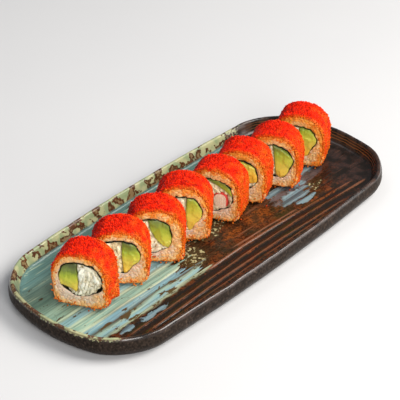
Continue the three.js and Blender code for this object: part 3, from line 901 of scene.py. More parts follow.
def right_through(loops, spacing, seed, stand_out, steps=4):
    """A closed body that fills a section from cut face to cut face.

    stand_out gives how far a face stands out at points of the section, on side 0 or 1. Gives the
    points, the faces and how many points each cut face has.
    """
    loops = [run_round(loop, clockwise=k > 0) for k, loop in enumerate(loops)]
    flat, triangles, rims = fill_section(loops, spacing, np.random.default_rng(seed))
    count = len(flat)
    half = SLICE_DEPTH / 2
    front = at_depth(flat, -half - stand_out(flat, 0))
    rear = at_depth(flat, half + stand_out(flat, 1))
    points = [front, rear]
    faces = [tuple(t) for t in triangles] + [tuple(t) for t in triangles[:, ::-1] + count]
    made = 2 * count
    for rim in rims:
        rows = [rim]
        for k in range(1, steps):
            share = k / steps
            points.append(front[rim] * (1 - share) + rear[rim] * share)
            rows.append(made + np.arange(len(rim)))
            made += len(rim)
        rows.append(rim + count)
        for here, beyond in zip(rows, rows[1:]):
            for i in range(len(rim)):
                j = (i + 1) % len(rim)
                faces.append((here[j], here[i], beyond[i], beyond[j]))
    return np.vstack(points), faces, count


def grains_tree():
    """Scatters grains over a bed where its cover attribute allows, and keeps the bed under them.

    A grain's length lies along the bed's lie attribute, give or take its swing times the freedom.
    """
    tree = bpy.data.node_groups.new("grains_on_a_bed", "GeometryNodeTree")
    sockets = {"Bed": "Geometry", "Spacing": "Float", "Grain Size": "Vector", "Sink": "Float"}
    sockets.update({"Swing": "Float", "Tilt": "Float", "Uneven": "Float", "Rounds": "Int", "Seed": "Int"})
    sockets.update({"Material": "Material", "Keep Bed": "Bool"})
    for name, kind in sockets.items():
        tree.interface.new_socket(name, in_out="INPUT", socket_type=f"NodeSocket{kind}")
    tree.interface.new_socket("Grains", in_out="OUTPUT", socket_type="NodeSocketGeometry")
    given = put(tree, "NodeGroupInput").outputs

    def read(name, kind="FLOAT"):
        found = put(tree, "GeometryNodeInputNamedAttribute", {"Name": name}, data_type=kind)
        return found.outputs["Attribute"]

    inputs = {"Mesh": given["Bed"], "Distance Min": given["Spacing"], "Density Max": 4e6}
    inputs.update({"Density Factor": read("cover"), "Seed": given["Seed"]})
    spread = put(tree, "GeometryNodeDistributePointsOnFaces", inputs, distribute_method="POISSON").outputs
    align = "FunctionNodeAlignRotationToVector"
    facing = put(tree, align, {"Vector": spread["Normal"]}, axis="Z").outputs[0]
    inputs = {"Rotation": facing, "Vector": read("lie", "FLOAT_VECTOR")}
    lying = put(tree, align, inputs, axis="X", pivot_axis="Z").outputs[0]
    swing = product(tree, given["Swing"], read("freedom"))
    most = put(tree, "ShaderNodeCombineXYZ", {"X": given["Tilt"], "Y": given["Tilt"], "Z": swing}).outputs[0]
    least = put(tree, "ShaderNodeVectorMath", {0: most, "Scale": -1.0}, operation="SCALE").outputs[0]
    inputs = {0: least, 1: most, "Seed": given["Seed"]}
    turn = put(tree, "FunctionNodeRandomValue", inputs, data_type="FLOAT_VECTOR").outputs[0]
    turn = put(tree, "FunctionNodeEulerToRotation", {0: turn}).outputs[0]
    inputs = {"Rotation": lying, "Rotate By": turn}
    rotation = put(tree, "FunctionNodeRotateRotation", inputs, rotation_space="LOCAL").outputs[0]

    inputs = {"Radius": 0.5, "Subdivisions": given["Rounds"]}
    ball = put(tree, "GeometryNodeMeshIcoSphere", inputs).outputs["Mesh"]
    ball = put(tree, "GeometryNodeSetShadeSmooth", {0: ball}).outputs[0]
    drop = put(tree, "ShaderNodeCombineXYZ", {"Z": product(tree, given["Sink"], -1.0)}).outputs[0]
    inputs = {"Geometry": ball, "Translation": drop, "Scale": given["Grain Size"]}
    grain = put(tree, "GeometryNodeTransform", inputs).outputs[0]
    smallest = work_out(tree, "SUBTRACT", 1.0, given["Uneven"])
    inputs = {0: smallest, 1: added(tree, 1.0, given["Uneven"]), "Seed": given["Seed"]}
    size = put(tree, "FunctionNodeRandomValue", inputs, data_type="FLOAT_VECTOR").outputs[0]
    inputs = {"Points": spread["Points"], "Instance": grain, "Rotation": rotation, "Scale": size}
    copies = put(tree, "GeometryNodeInstanceOnPoints", inputs).outputs[0]
    shade = put(tree, "FunctionNodeRandomValue", {"Seed": given["Seed"]}, data_type="FLOAT").outputs[1]
    inputs = {"Geometry": copies, "Name": "shade", "Value": shade}
    store = "GeometryNodeStoreNamedAttribute"
    copies = put(tree, store, inputs, domain="INSTANCE", data_type="FLOAT").outputs[0]
    copies = put(tree, "GeometryNodeRealizeInstances", {"Geometry": copies}).outputs[0]
    inputs = {"Switch": given["Keep Bed"], "True": given["Bed"]}
    bed = put(tree, "GeometryNodeSwitch", inputs, input_type="GEOMETRY").outputs[0]
    both = put(tree, "GeometryNodeJoinGeometry", {0: bed})
    tree.links.new(copies, both.inputs[0])
    inputs = {"Geometry": both.outputs[0], "Material": given["Material"]}
    put(tree, "NodeGroupOutput", {"Grains": put(tree, "GeometryNodeSetMaterial", inputs).outputs[0]})
    return tree


GRAINS = grains_tree()


def scatter(bed, spacing, grain_size, sink, **others):
    """Runs the grains tree on a bed, given sizes in mm, and makes the result its plain mesh."""
    values = {"spacing": spacing * MM, "grain_size": [side * MM for side in grain_size], "sink": sink * MM}
    values.update(others)
    modifier = bed.modifiers.new("grains", "NODES")
    modifier.node_group = GRAINS
    for item in GRAINS.interface.items_tree:
        name = item.name.lower().replace(" ", "_")
        if name in values:
            modifier[item.identifier] = values[name]
    ready = bpy.context.evaluated_depsgraph_get()
    made = bpy.data.meshes.new_from_object(
        bed.evaluated_get(ready), preserve_all_data_layers=True, depsgraph=ready
    )
    bed.modifiers.clear()
    bed.data = made


def set_lie(piece, ways):
    """The direction in which a grain's length lies, at each point of its bed."""
    lie = piece.data.attributes.new("lie", "FLOAT_VECTOR", "POINT")
    lie.data.foreach_set("vector", ways.astype(np.float32).ravel())


def fall_back(flat, loop, depth, reach):
    """How far a cut face falls back towards one of its edges, and over what distance."""
    return depth * np.exp(-nearest_on(flat, loop)[0] / reach)


def rice_layer(number, cut, material):
    angle = np.linspace(0, 2 * np.pi, RICE_SIDES, endpoint=False)
    outer = run_round(rice_edge(cut, angle, GAP))
    hole = run_round(ring(cut, angle, -SEAWEED_OUT - 0.15), clockwise=True)

    def stand_out(flat, side):
        rounded = -0.35 - fall_back(flat, outer, 0.05, 0.9) - fall_back(flat, hole, 0.3, 0.6)
        return rounded + 0.45 * bumps(flat, 0.25, number + 20 * side)

    points, faces, count = right_through([outer, hole], RICE_BED_SPACING, number, stand_out)
    piece = mesh_object(f"rice_grains_{number}", standing(number, cut, points), faces)
    piece.data.shade_smooth()
    flat = points[:, [0, 2]]
    outside, way_out = nearest_on(flat, outer)
    beside, way_in = nearest_on(flat, hole)
    room = np.minimum(outside, beside)
    on_face = np.arange(len(points)) < 2 * count
    round_at = np.arctan2(flat[:, 1], flat[:, 0])
    reach = 0.2 + 0.9 * np.clip(np.sin(round_at) + 0.25, 0, 1) + 0.5 * bumps(flat, 0.3, number + 9.0)
    cover = np.where(on_face & (outside > 0.1) & (beside > reach), 1.0, 0.0)
    way = np.where((outside < beside)[:, None], way_out, way_in)
    set_lie(piece, at_depth(way, 0.0) @ slice_turn(cut))

    # The roe's juice stains the rice from the outside, most of all on top to the right and at the foot.
    side_stain = 0.68 + 0.42 * np.cos(round_at - math.radians(70))
    patchy = np.clip(0.9 + 1.2 * bumps(flat, 0.2, number + 3.0), 0.65, 1.6)
    from_roe = outside / np.maximum(outside + beside, 1)
    stain = STAINS[number - 1] * side_stain * (0.28 + 1.15 * np.exp(-2.4 * from_roe)) * patchy
    stain += 0.6 * np.exp(-outside / 1.8) * np.clip((-flat[:, 1] - 13) / 5, 0, 1) * patchy
    freedom = np.clip((room - 1.0) / 1.6, 0.12, 1)
    set_values(piece, cover=cover, freedom=freedom, tint=np.clip(stain, 0, 1), shade=0.6)
    scatter(
        piece, GRAIN_SPACING, GRAIN_SIZE, GRAIN_SINK, swing=math.radians(90), tilt=math.radians(17),
        uneven=0.18, rounds=2, seed=number, material=material, keep_bed=True,
    )
    return piece


def let_light_in(surface, weight, radius, scale):
    """Lets light some way into a food, further for red than for blue. The scale is in metres."""
    surface.inputs["Subsurface Weight"].default_value = weight
    surface.inputs["Subsurface Radius"].default_value = radius
    surface.inputs["Subsurface Scale"].default_value = scale


def rice_finish():
    material, tree, surface = new_material("rice")
    cloud = relief(tree, surface, 1400.0, 0.0002, 0.35)
    tint = mesh_value(tree, "tint")
    shade = mesh_value(tree, "shade")
    white = blend_colours(tree, shade, (0.70, 0.50, 0.38), (0.90, 0.73, 0.59))
    peach = blend_colours(tree, shade, (0.86, 0.42, 0.15), (0.96, 0.57, 0.24))
    orange = blend_colours(tree, shade, (0.88, 0.24, 0.024), (0.96, 0.37, 0.05))
    colour = blend_colours(tree, fade(tree, tint, 0.02, 0.45), white, peach)
    colour = blend_colours(tree, fade(tree, tint, 0.5, 1.0), colour, orange)
    colour = paint(tree, colour, fade(tree, cloud, 0.55, 0.3), (0.35, 0.15, 0.06), 0.15)
    tree.links.new(colour, surface.inputs["Base Color"])
    vary_roughness(tree, surface, cloud, 0.3, 0.55)
    surface.inputs["Specular IOR Level"].default_value = 0.3
    let_light_in(surface, 0.3, (1.0, 0.6, 0.4), 0.0012)
    return material


rice_material = rice_finish()
for number, cut in enumerate(SLICES, 1):
    piece = rice_layer(number, cut, rice_material)
    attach(piece, "root")
    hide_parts(f"rice_{number}")

# Avocado
# Ripe avocado in a long wedge, laid right through the roll. It is dark green where the skin was and
# yellow by the stone, with the smooth, slightly greasy cut that a wet knife leaves.
FILLING_INSET = 0.5  # from the seaweed's ring
EDGE_STEPS = 16
# How far up each wedge its green turns to yellow, in mm from the slice's middle, over what height
# it does so, and how proud the cut is.
RIPENESS = [
    (1.5, 12, 0.1), (3.5, 13, 0.3), (0, 24, -0.2), (7, 19, 0.2),
    (2.5, 20, 0.1), (14, 9, 0.1), (3.5, 16, 0.3), (6.5, 14, 0.2),
]
FACET_SIZE = 7.0  # mm, of the flat patches that the knife leaves
FACET_SLOPE = 2.4


def filling_edge(cut, angle):
    """Points of the filling's skin, dented where the seaweed stands off it."""
    inset = FILLING_INSET * (0.8 + 0.2 * np.sin(angle))
    return ring(cut, angle, inset + dips(angle, cut["dents"]))


def wedge_edge(cut, gap):
    """The avocado's inner edge, from the end of its stretch of the ring back to the start."""
    start_at, end_at, bulge = cut["avocado"]
    start, end = filling_edge(cut, np.radians([float(end_at), float(start_at)]))
    along = end - start
    share = np.linspace(0, 1, EDGE_STEPS + 1)[1:-1]
    if "corners" in cut:
        places = np.array([start, *cut["corners"], end])
        run = np.concatenate([[0], np.cumsum(np.linalg.norm(np.diff(places, axis=0), axis=1))])
        edge = np.stack([np.interp(share * run[-1], run, places[:, k]) for k in (0, 1)], 1)
        way = np.gradient(edge, axis=0)
        way /= np.linalg.norm(way, axis=1)[:, None]
        return edge + gap * np.stack([way[:, 1], -way[:, 0]], 1)
    out = (bulge * np.sin(np.pi * share) + gap) / np.linalg.norm(along)
    return start + along * share[:, None] + out[:, None] * [along[1], -along[0]]


def avocado_outline(cut):
    start_at, end_at, _ = cut["avocado"]
    arc = np.radians(np.linspace(start_at, end_at, (end_at - start_at) // 3))
    return np.vstack([filling_edge(cut, arc), wedge_edge(cut, 0)])


def facets(flat, size, slope, seed):
    """Flat patches of about that size, each leaning its own way."""
    heights = []
    for x, z in flat / size:
        _, cells = noise.voronoi(Vector((x, z, seed)))
        lean = noise.noise_vector(cells[0] * 3.7)
        heights.append((x - cells[0].x) * lean.x + (z - cells[0].y) * lean.y)
    return np.array(heights) * slope


def avocado_wedge(number, cut):
    loop = run_round(avocado_outline(cut))
    turning, height, proud = RIPENESS[number - 1]

    def stand_out(flat, side):
        cuts = facets(flat, FACET_SIZE, FACET_SLOPE, number + 0.3 + side)
        proud_there = proud - fall_back(flat, loop, 0.5, 0.5)
        return proud_there + np.clip(cuts, -0.9, 0.9) + 0.08 * bumps(flat, 0.7, number)

    points, faces, _ = right_through([loop], 0.9, number, stand_out)
    piece = mesh_object(f"avocado_wedge_{number}", standing(number, cut, points), faces)
    piece.data.shade_smooth()
    green = (points[:, 2] - turning) / height + 0.14 * bumps(points[:, [0, 2]], 0.15, number + 5)
    set_values(piece, green=green)
    return piece


# From the yellow by the stone to the dark green under the skin.
AVOCADO_COLOURS = [
    (0.0, (0.86, 0.49, 0.045)), (0.14, (0.82, 0.55, 0.07)), (0.33, (0.76, 0.62, 0.085)),
    (0.50, (0.58, 0.58, 0.06)), (0.64, (0.38, 0.46, 0.04)), (0.77, (0.20, 0.26, 0.04)),
    (0.93, (0.085, 0.105, 0.026)),
]


def avocado_finish():
    material, tree, surface = new_material("avocado")
    cloud = relief(tree, surface, 700.0, 0.0002, 0.25)
    green = mesh_value(tree, "green")
    place = put(tree, "ShaderNodeTexCoord").outputs["Object"]
    fibre = grain_noise(tree, place, 1.0, 3.0, (900, 900, 160))["Fac"]
    share = added(tree, green, product(tree, work_out(tree, "SUBTRACT", fibre, 0.5), 0.35))
    share = put(tree, "ShaderNodeMapRange", {"Value": share, "From Min": -1.3, "From Max": 1.0}).outputs[0]
    colour = colour_ramp(tree, share, AVOCADO_COLOURS)
    colour = paint(tree, colour, fade(tree, cloud, 0.62, 0.72), (0.30, 0.22, 0.05), 0.35)
    tree.links.new(colour, surface.inputs["Base Color"])
    surface.inputs["Roughness"].default_value = 0.38
    let_light_in(surface, 0.2, (0.8, 0.8, 0.3), 0.001)
    return material


avocado_material = avocado_finish()
for number, cut in enumerate(SLICES, 1):
    piece = avocado_wedge(number, cut)
    piece.data.materials.append(avocado_material)
    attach(piece, "root")
    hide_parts(f"avocado_{number}")

# Crab
# Shredded crab bound with a little mayonnaise, packed beside the avocado. Its white shreds lie
# mostly upright and part in short cracks, and what is set back from the cut face is painted darker
# as the shade in those hollows.
SHRED_SIZE = (6.6, 2.7, 1.7)
SHRED_SPACING = 2.2
SHRED_SINK = 0.15
STICK_SLICE = 5  # the slice that also holds a stick of fish cake
STICK = {"across": 11.5, "tall": 14, "right": 6, "up": -4.3}
STICK_ROUNDNESS = 2.6
CREAMINESS = [0.1, 0.75, 0.45, 0.55, 0.7, 0.4, 0.6, 0.5]  # how yellow the mayonnaise makes each


def stick_outline(inset):
    angle = np.linspace(0, 2 * np.pi, 48, endpoint=False)
    x = STICK["right"] + (STICK["across"] / 2 - inset) * signed_power(np.cos(angle), 2 / STICK_ROUNDNESS)
    z = STICK["up"] + (STICK["tall"] / 2 - inset) * signed_power(np.sin(angle), 2 / STICK_ROUNDNESS)
    return np.stack([x, z], 1)


def crab_outline(cut):
    start_at, end_at, _ = cut["avocado"]
    arc = np.radians(np.linspace(end_at + 1.5, start_at + 358.5, (360 + start_at - end_at) // 3))
    return np.vstack([filling_edge(cut, arc), wedge_edge(cut, GAP)[::-1]])


def crab_filling(number, cut, material):
    loops = [run_round(crab_outline(cut))]
    if number == STICK_SLICE:
        loops.append(run_round(stick_outline(-GAP), clockwise=True))

    def stand_out(flat, side):
        edge = np.min([nearest_on(flat, loop)[0] for loop in loops], axis=0)
        cracks = []
        for x, z in flat:
            gaps, _ = noise.voronoi(Vector((x * 0.42 + number, z * 0.2, side * 3.0)))
            cracks.append(min((gaps[1] - gaps[0]) * 4, 1))
        rounded = 0.3 - 0.9 * np.exp(-edge / 0.8) - 1.3 * (1 - np.array(cracks))
        return rounded + 0.35 * bumps(flat, 0.4, number + side)

    points, faces, count = right_through(loops, 0.7, number, stand_out)
    piece = mesh_object(f"crab_shreds_{number}", standing(number, cut, points), faces)
    piece.data.shade_smooth()
    flat = points[:, [0, 2]]
    edge = np.min([nearest_on(flat, loop)[0] for loop in loops], axis=0)
    depth = np.abs(points[:, 1]) - SLICE_DEPTH / 2
    on_face = np.arange(len(points)) < 2 * count

    # The shreds lean a little this way and that, and lie along the edge where they are close to it.
    lean = 0.3 + 1.5 * bumps(flat, 0.11, number + 2.5)
    beside = nearest_on(flat, loops[0])[1]
    beside = beside * np.where(beside[:, 1:] < 0, -1, 1)
    way = np.where(edge[:, None] < 3, beside, np.stack([np.sin(lean), np.cos(lean)], 1))
    set_lie(piece, at_depth(way, 0.0) @ slice_turn(cut))
    cover = np.where(on_face & (edge > 1.2) & (depth > -0.5), 0.8, 0)
    # Painted shade: points set back from the cut face, in the cracks and at the edges, are coloured darker.
    crack = np.clip(-depth / 1.2, 0, 1)
    cream = CREAMINESS[number - 1]
    set_values(piece, cover=cover, freedom=np.clip(edge / 3, 0.3, 1), tint=cream, shade=0.3, crack=crack)
    scatter(
        piece, SHRED_SPACING, SHRED_SIZE, SHRED_SINK, swing=math.radians(26), tilt=math.radians(13),
        uneven=0.4, rounds=2, seed=number, material=material, keep_bed=True,
    )
    return piece


def crab_finish():
    material, tree, surface = new_material("crab")
    cloud = relief(tree, surface, 1600.0, 0.0003, 0.5)
    tint = mesh_value(tree, "tint")
    shade = mesh_value(tree, "shade")
    crack = mesh_value(tree, "crack")
    white = blend_colours(tree, shade, (0.80, 0.75, 0.56), (0.97, 0.95, 0.82))
    cream = blend_colours(tree, shade, (0.82, 0.60, 0.28), (0.95, 0.80, 0.50))
    colour = blend_colours(tree, tint, white, cream)
    # Painted shade in the hollows between the shreds.
    colour = blend_colours(tree, crack, colour, (0.36, 0.28, 0.13))
    tree.links.new(colour, surface.inputs["Base Color"])
    vary_roughness(tree, surface, cloud, 0.3, 0.6)
    let_light_in(surface, 0.2, (1.0, 0.8, 0.6), 0.001)
    return material


crab_material = crab_finish()
for number, cut in enumerate(SLICES, 1):
    piece = crab_filling(number, cut, crab_material)
    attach(piece, "root")
    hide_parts(f"crab_{number}")


# Fish cake
# One stick of steamed fish cake in the fifth slice. Its flesh is pale and fibrous, with a thin skin
# coloured red, and it is cut through with the roll.
def fish_cake(number, cut):
    loop = run_round(stick_outline(0))

    def stand_out(flat, side):
        fibres = 0.12 * np.sin(flat[:, 0] * 3.6 + 1.5 * bumps(flat, 0.3, 4.0))
        return 0.35 - fall_back(flat, loop, 0.5, 0.5) + fibres + 0.2 * bumps(flat, 0.3, number + side)

    points, faces, _ = right_through([loop], 0.6, number, stand_out)
    piece = mesh_object("fish_cake_5", standing(number, cut, points), faces)
    piece.data.shade_smooth()
    flat = points[:, [0, 2]]
    edge = nearest_on(flat, loop)[0]

    # The red skin runs over the top and down the right side.
    rightward, upward = ((flat - [STICK["right"], STICK["up"]]) / 3).T
    right_side = np.clip(rightward + 0.9, 0, 1) * np.clip(upward + 2, 0, 1)
    coloured = np.maximum(right_side, np.clip(upward - 0.6, 0, 1))
    set_values(piece, skin=np.clip(1.6 - edge / 0.9, 0, 1) * coloured)
    return piece


def fish_cake_finish():
    material, tree, surface = new_material("fish_cake")
    cloud = relief(tree, surface, 1500.0, 0.0002, 0.4)
    skin = mesh_value(tree, "skin")
    flesh = blend_colours(tree, fade(tree, cloud, 0.35, 0.65), (0.80, 0.56, 0.38), (0.96, 0.82, 0.62))
    edge = added(tree, skin, product(tree, work_out(tree, "SUBTRACT", cloud, 0.5), 0.6))
    colour = paint(tree, flesh, fade(tree, edge, 0.35, 0.75), (0.72, 0.055, 0.04))
    tree.links.new(colour, surface.inputs["Base Color"])
    surface.inputs["Roughness"].default_value = 0.4
    let_light_in(surface, 0.2, (1.0, 0.6, 0.5), 0.001)
    return material


stick = fish_cake(STICK_SLICE, SLICES[STICK_SLICE - 1])
stick.data.materials.append(fish_cake_finish())
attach(stick, "root")
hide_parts(f"stick_{STICK_SLICE}")

# Roe
# Tiny flying fish roe, pressed on the rice in a layer one to three grains thick. It is deepest red
# on top and thins to orange at the cut edges and towards the tray. Its colour also holds painted
# light: darker red on the left, as painted shade, and more orange on the right, where the light falls.
ROE_GRAIN = (1.4, 1.4, 1.4)
ROE_SPACING = 1.05
ROE_HALF = SLICE_DEPTH / 2 - 0.3  # how far the roe reaches from the middle of the slice
ROE_SIDES = 150
ROE_ROWS = 22
ROE_INSET = 0.5  # the layer under the outermost grains lies this far in
EDGE_ROUND = 0.9  # mm, at the rims of the coat
ROE_LUMPS = [(0.12, 0.55), (0.35, 0.4)]  # how close together the lumps lie, and how high they are


def roe_skin(number, cut, inset):
    """Rows of points over the outside of the roe, from the front cut to the rear one."""
    angle = np.linspace(0, 2 * np.pi, ROE_SIDES, endpoint=False)
    low = np.sin(angle) < -0.8
    rows = []
    for depth in np.linspace(-1, 1, ROE_ROWS) * ROE_HALF:
        into = np.clip((abs(depth) - (ROE_HALF - EDGE_ROUND)) / EDGE_ROUND, 0, 1)
        pull = inset + EDGE_ROUND * (1 - math.sqrt(1 - into**2))
        at = section(angle, cut["width"] - 2 * pull, cut["height"] - 2 * pull, 0)
        deep = np.hstack([at, np.full((len(at), 1), depth)])
        lumps = sum(waver(deep, scale, number / scale) * rise for scale, rise in ROE_LUMPS)
        outward = at / np.linalg.norm(at, axis=1)[:, None]
        at = at + outward * np.where(low, 0, lumps)[:, None]
        for middle, wide, along, deep_reach, rise in cut.get("clumps", []):
            off = (np.degrees(angle) - middle + 180) % 360 - 180
            at[:, 0] += rise * np.exp(-((off / wide) ** 2) - ((depth - along) / deep_reach) ** 2)
        rows.append(at_depth(at, depth))
    return np.vstack(rows)


def roe_thinness_and_painted_light(number, points):
    """How thinly the roe lies, with painted light: 0 where thick and red, 1 where thinner and orange or lit
    on the right, below 0 in the painted shade on the left.
    """
    round_at = np.arctan2(points[:, 2], points[:, 0])
    to_edge = np.clip((np.abs(points[:, 1]) - ROE_HALF + 5) / 5, 0, 1)
    front_edge = np.clip((-points[:, 1] - ROE_HALF + 3.0) / 3.0, 0, 1)
    downward = np.clip((-np.sin(round_at) - 0.25) / 0.5, 0, 1)
    # Painted highlight: the right side, where the light falls, is made more orange.
    rightward = np.clip(np.cos(round_at) * 1.2 - 0.1, 0, 1)
    # Painted shade: the left side, turned away from the light, is made darker red.
    painted_shade_left = np.clip(-np.cos(round_at) * 1.3 - 0.1, 0, 1)
    thinness_and_light = 0.4 * front_edge**1.5 + 0.2 * to_edge**2 + 0.5 * rightward + 0.4 * downward
    return thinness_and_light + 0.5 * waver(points, 0.16, number * 7.0) - 0.6 * painted_shade_left * (1 - front_edge)


def roe_layer(number, cut, material):
    angle = np.linspace(0, 2 * np.pi, ROE_SIDES, endpoint=False)
    inner = rice_edge(cut, angle, 0)
    lining = [at_depth(inner, share * ROE_HALF) for share in (1, 0, -1)]
    points = np.vstack([roe_skin(number, cut, ROE_INSET), *lining])
    faces = wrapped_sleeve(ROE_ROWS + 3, ROE_SIDES)
    piece = mesh_object(f"roe_grains_{number}", standing(number, cut, points), faces)
    piece.data.shade_smooth()

    # The knife and the fingers have rubbed grains off at the front edge of the foot, and further up
    # the left of the first slice.
    low = np.clip((-points[:, 2] - 10) / 5, 0, 1)
    if number == 1:
        left = np.clip((-points[:, 0] - 15) / 4, 0, 1) * np.clip((8 - points[:, 2]) / 5, 0, 1)
        low = np.maximum(low, left)
    bare = low * np.clip((-points[:, 1] - ROE_HALF + 2.2) / 1.5, 0, 1)
    hidden = points[:, 2] < -cut["height"] / 2 + 0.8
    hidden |= np.arange(len(points)) // ROE_SIDES == ROE_ROWS + 1
    cover = np.where(hidden, 0.0, 1 - 0.35 * low - 0.5 * bare)
    # The tint holds how thinly the roe lies, with painted shade on the left and painted light on the right.
    thinness_and_light = np.clip(roe_thinness_and_painted_light(number, points), -1, 1)
    set_values(piece, cover=cover, freedom=1.0, tint=thinness_and_light + bare, shade=-1.0)
    set_lie(piece, np.tile([1.0, 0, 0], (len(points), 1)) @ slice_turn(cut))
    scatter(
        piece, ROE_SPACING, ROE_GRAIN, 0.05, swing=math.pi, tilt=1.0, uneven=0.25, rounds=1,
        seed=number, material=material, keep_bed=True,
    )
    return piece


def roe_finish():
    material, tree, surface = new_material("roe")
    place = put(tree, "ShaderNodeTexCoord").outputs["Object"]
    cluster = grain_noise(tree, place, 260.0, 3.0)["Fac"]
    tint = mesh_value(tree, "tint")
    shade = mesh_value(tree, "shade")
    varied = added(tree, scaled(tree, shade, 0.62), scaled(tree, cluster, 0.6))
    spread = fade(tree, varied, 0.22, 0.82)
    # Darker red: partly tone that varies at random, partly painted shade on the left of each slice.
    deep = blend_colours(tree, spread, (0.20, 0.002, 0.0005), (0.58, 0.008, 0.001))
    red = blend_colours(tree, spread, (0.40, 0.003, 0.0005), (0.95, 0.026, 0.001))
    orange = blend_colours(tree, spread, (0.42, 0.030, 0.0005), (0.50, 0.100, 0.002))
    # Tints below 0, partly the painted shade on the left, take the darker red.
    colour = blend_colours(tree, fade(tree, tint, -0.7, 0.0), deep, red)
    colour = blend_colours(tree, fade(tree, tint, 0.1, 0.95), colour, orange)
    pale = blend_colours(tree, spread, (0.58, 0.10, 0.004), (0.80, 0.22, 0.02))
    colour = blend_colours(tree, fade(tree, tint, 1.0, 1.35), colour, pale)
    under = blend_colours(tree, fade(tree, tint, 0.0, 0.9), (0.40, 0.006, 0.001), (0.80, 0.16, 0.02))
    under = blend_colours(tree, fade(tree, tint, 1.1, 1.7), under, (0.82, 0.36, 0.13))
    colour = blend_colours(tree, fade(tree, shade, -0.05, -0.5), colour, under)
    tree.links.new(colour, surface.inputs["Base Color"])
    surface.inputs["Roughness"].default_value = 0.35
    surface.inputs["Specular IOR Level"].default_value = 0.1
    let_light_in(surface, 0.2, (1.0, 0.15, 0.04), 0.0012)
    return material


roe_material = roe_finish()
for number, cut in enumerate(SLICES, 1):
    piece = roe_layer(number, cut, roe_material)
    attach(piece, "root")
    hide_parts(f"roe_{number}")

# Loose roe grains
# Grains that cling singly: standing off the skin in patches, smeared over the outer edge of the cut
# rice by the knife, and fallen on the tray round the feet of the slices.
CRUMB_REACH = 7  # mm, how far from a foot a grain may lie
CRUMB_GRID = 1.5
SMEAR_GAPS = (-1.4, 0, 1.2, 2.6, 4.2)  # mm in from the roe, the rings of a smear's bed
FALLEN = [0.2, 0.1, 0.3, 0.2, 0.2, 0.15, 0.2, 0.15]  # how many grains fell round each slice
SMEARED = [0.35, 0.2, 0.4, 0.35, 0.2, 0.2, 0.35, 0.2]  # and how many cling to the foot of its cut face


def clinging_bed(number, cut):
    """The skin of a slice, where single grains stand off it."""
    points = roe_skin(number, cut, ROE_INSET)
    patchy = np.clip(0.5 + 1.6 * waver(points, 0.22, number * 2.3), 0, 1)
    cover = np.where(points[:, 2] < -cut["height"] / 2 + 1.5, 0, 0.28 * patchy)
    # The same tint as on the skin: thinness, with painted shade on the left and painted light on the right.
    tint = np.clip(roe_thinness_and_painted_light(number, points) + 0.1, -1, 1)
    return points, wrapped_sleeve(ROE_ROWS, ROE_SIDES, closed=False), cover, tint


def smeared_bed(number, cut, side):
    """A ring over the outer edge of a cut face."""
    angle = np.linspace(0, 2 * np.pi, ROE_SIDES, endpoint=False)
    depth = side * (SLICE_DEPTH / 2 - 0.1)
    points = np.vstack([at_depth(rice_edge(cut, angle, gap), depth) for gap in SMEAR_GAPS])
    gap = np.repeat(SMEAR_GAPS, ROE_SIDES)
    flat = points[:, [0, 2]]
    foot = np.clip((-points[:, 2] - 17) / 3, 0, 1)
    at_edge = 0.8 * np.exp(-np.maximum(gap, 0) / 0.85)
    patchy = np.clip(0.7 + bumps(flat, 0.25, number), 0, 1)
    cover = (at_edge * (1 - foot) + SMEARED[number - 1] * foot) * patchy
    sheet = ring(cut, angle, 0)
    cover[inside(flat, sheet) | (nearest_on(flat, sheet)[0] < 0.8)] = 0
    faces = wrapped_sleeve(len(SMEAR_GAPS), ROE_SIDES, closed=False)
    if side < 0:
        faces = [face[::-1] for face in faces]
    return points, faces, cover, np.full(len(points), 1.25)


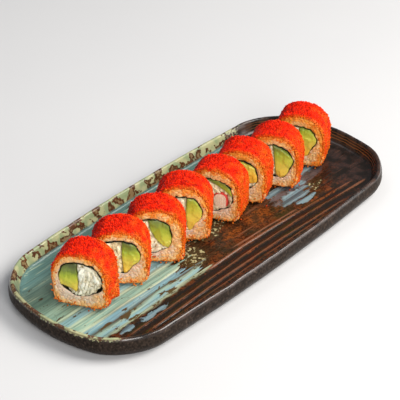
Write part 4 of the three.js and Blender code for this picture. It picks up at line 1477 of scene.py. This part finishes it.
def footprint_gap(points):
    """How far each point of the tray's floor lies from the slices, and which slice is the nearest."""
    gaps = []
    for number, cut in enumerate(SLICES, 1):
        corner = np.array([[-1, -1], [1, -1], [1, 1], [-1, 1]]) * [cut["width"] / 2 - 1.2, SLICE_DEPTH / 2]
        foot = standing(number, cut, np.column_stack([corner, np.zeros(4)]))[:, :2] / MM
        gap = nearest_on(points, foot)[0]
        gaps.append(np.where(inside(points, foot), -1, gap))
    gaps = np.array(gaps)
    return gaps.min(0), gaps.argmin(0)


def fallen_bed():
    """The part of the tray's floor on which grains lie."""
    across = np.arange(-165, 160, CRUMB_GRID)
    upward = np.arange(-32, 46, CRUMB_GRID)
    grid = np.stack(np.meshgrid(across, upward), -1)
    flat = grid.reshape(-1, 2)
    gap, nearest = footprint_gap(flat)
    patchy = np.clip(0.3 + 1.8 * bumps(flat, 0.15, 5.0), 0, 1)
    fallen = np.array(FALLEN)[nearest] * np.exp(-gap / 0.8) * patchy
    cover = np.where((gap > 0) & (gap < CRUMB_REACH), fallen, 0)
    height = FLOOR_HEIGHT + comb_height(flat[:, 0], flat[:, 1])
    points = np.column_stack([flat, height]) * MM
    columns = len(across)
    faces = []
    for j in range(len(upward) - 1):
        for i in range(columns - 1):
            corner = j * columns + i
            used = cover[[corner, corner + 1, corner + columns, corner + columns + 1]]
            if used.max() > 0.02:
                faces.append((corner, corner + 1, corner + columns + 1, corner + columns))
    return points, faces, cover, np.full(len(points), 0.8)


def loose_grains(material):
    beds = [fallen_bed()]
    for number, cut in enumerate(SLICES, 1):
        for made in (clinging_bed(number, cut), smeared_bed(number, cut, -1), smeared_bed(number, cut, 1)):
            beds.append((standing(number, cut, made[0]), *made[1:]))
    all_faces = []
    first = 0
    for points, faces, _, _ in beds:
        all_faces += [tuple(first + corner for corner in face) for face in faces]
        first += len(points)
    piece = mesh_object("loose_roe_grains", np.vstack([bed[0] for bed in beds]), all_faces)
    cover = np.concatenate([bed[2] for bed in beds])
    tint = np.concatenate([bed[3] for bed in beds])
    set_values(piece, cover=cover, freedom=1.0, tint=tint, shade=0.5)
    set_lie(piece, np.tile([1.0, 0, 0], (len(cover), 1)))
    scatter(
        piece, ROE_SPACING, ROE_GRAIN, -0.5, swing=math.pi, tilt=1.0, uneven=0.25, rounds=1,
        seed=11, material=material, keep_bed=False,
    )
    return piece


piece = loose_grains(roe_material)
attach(piece, "root")
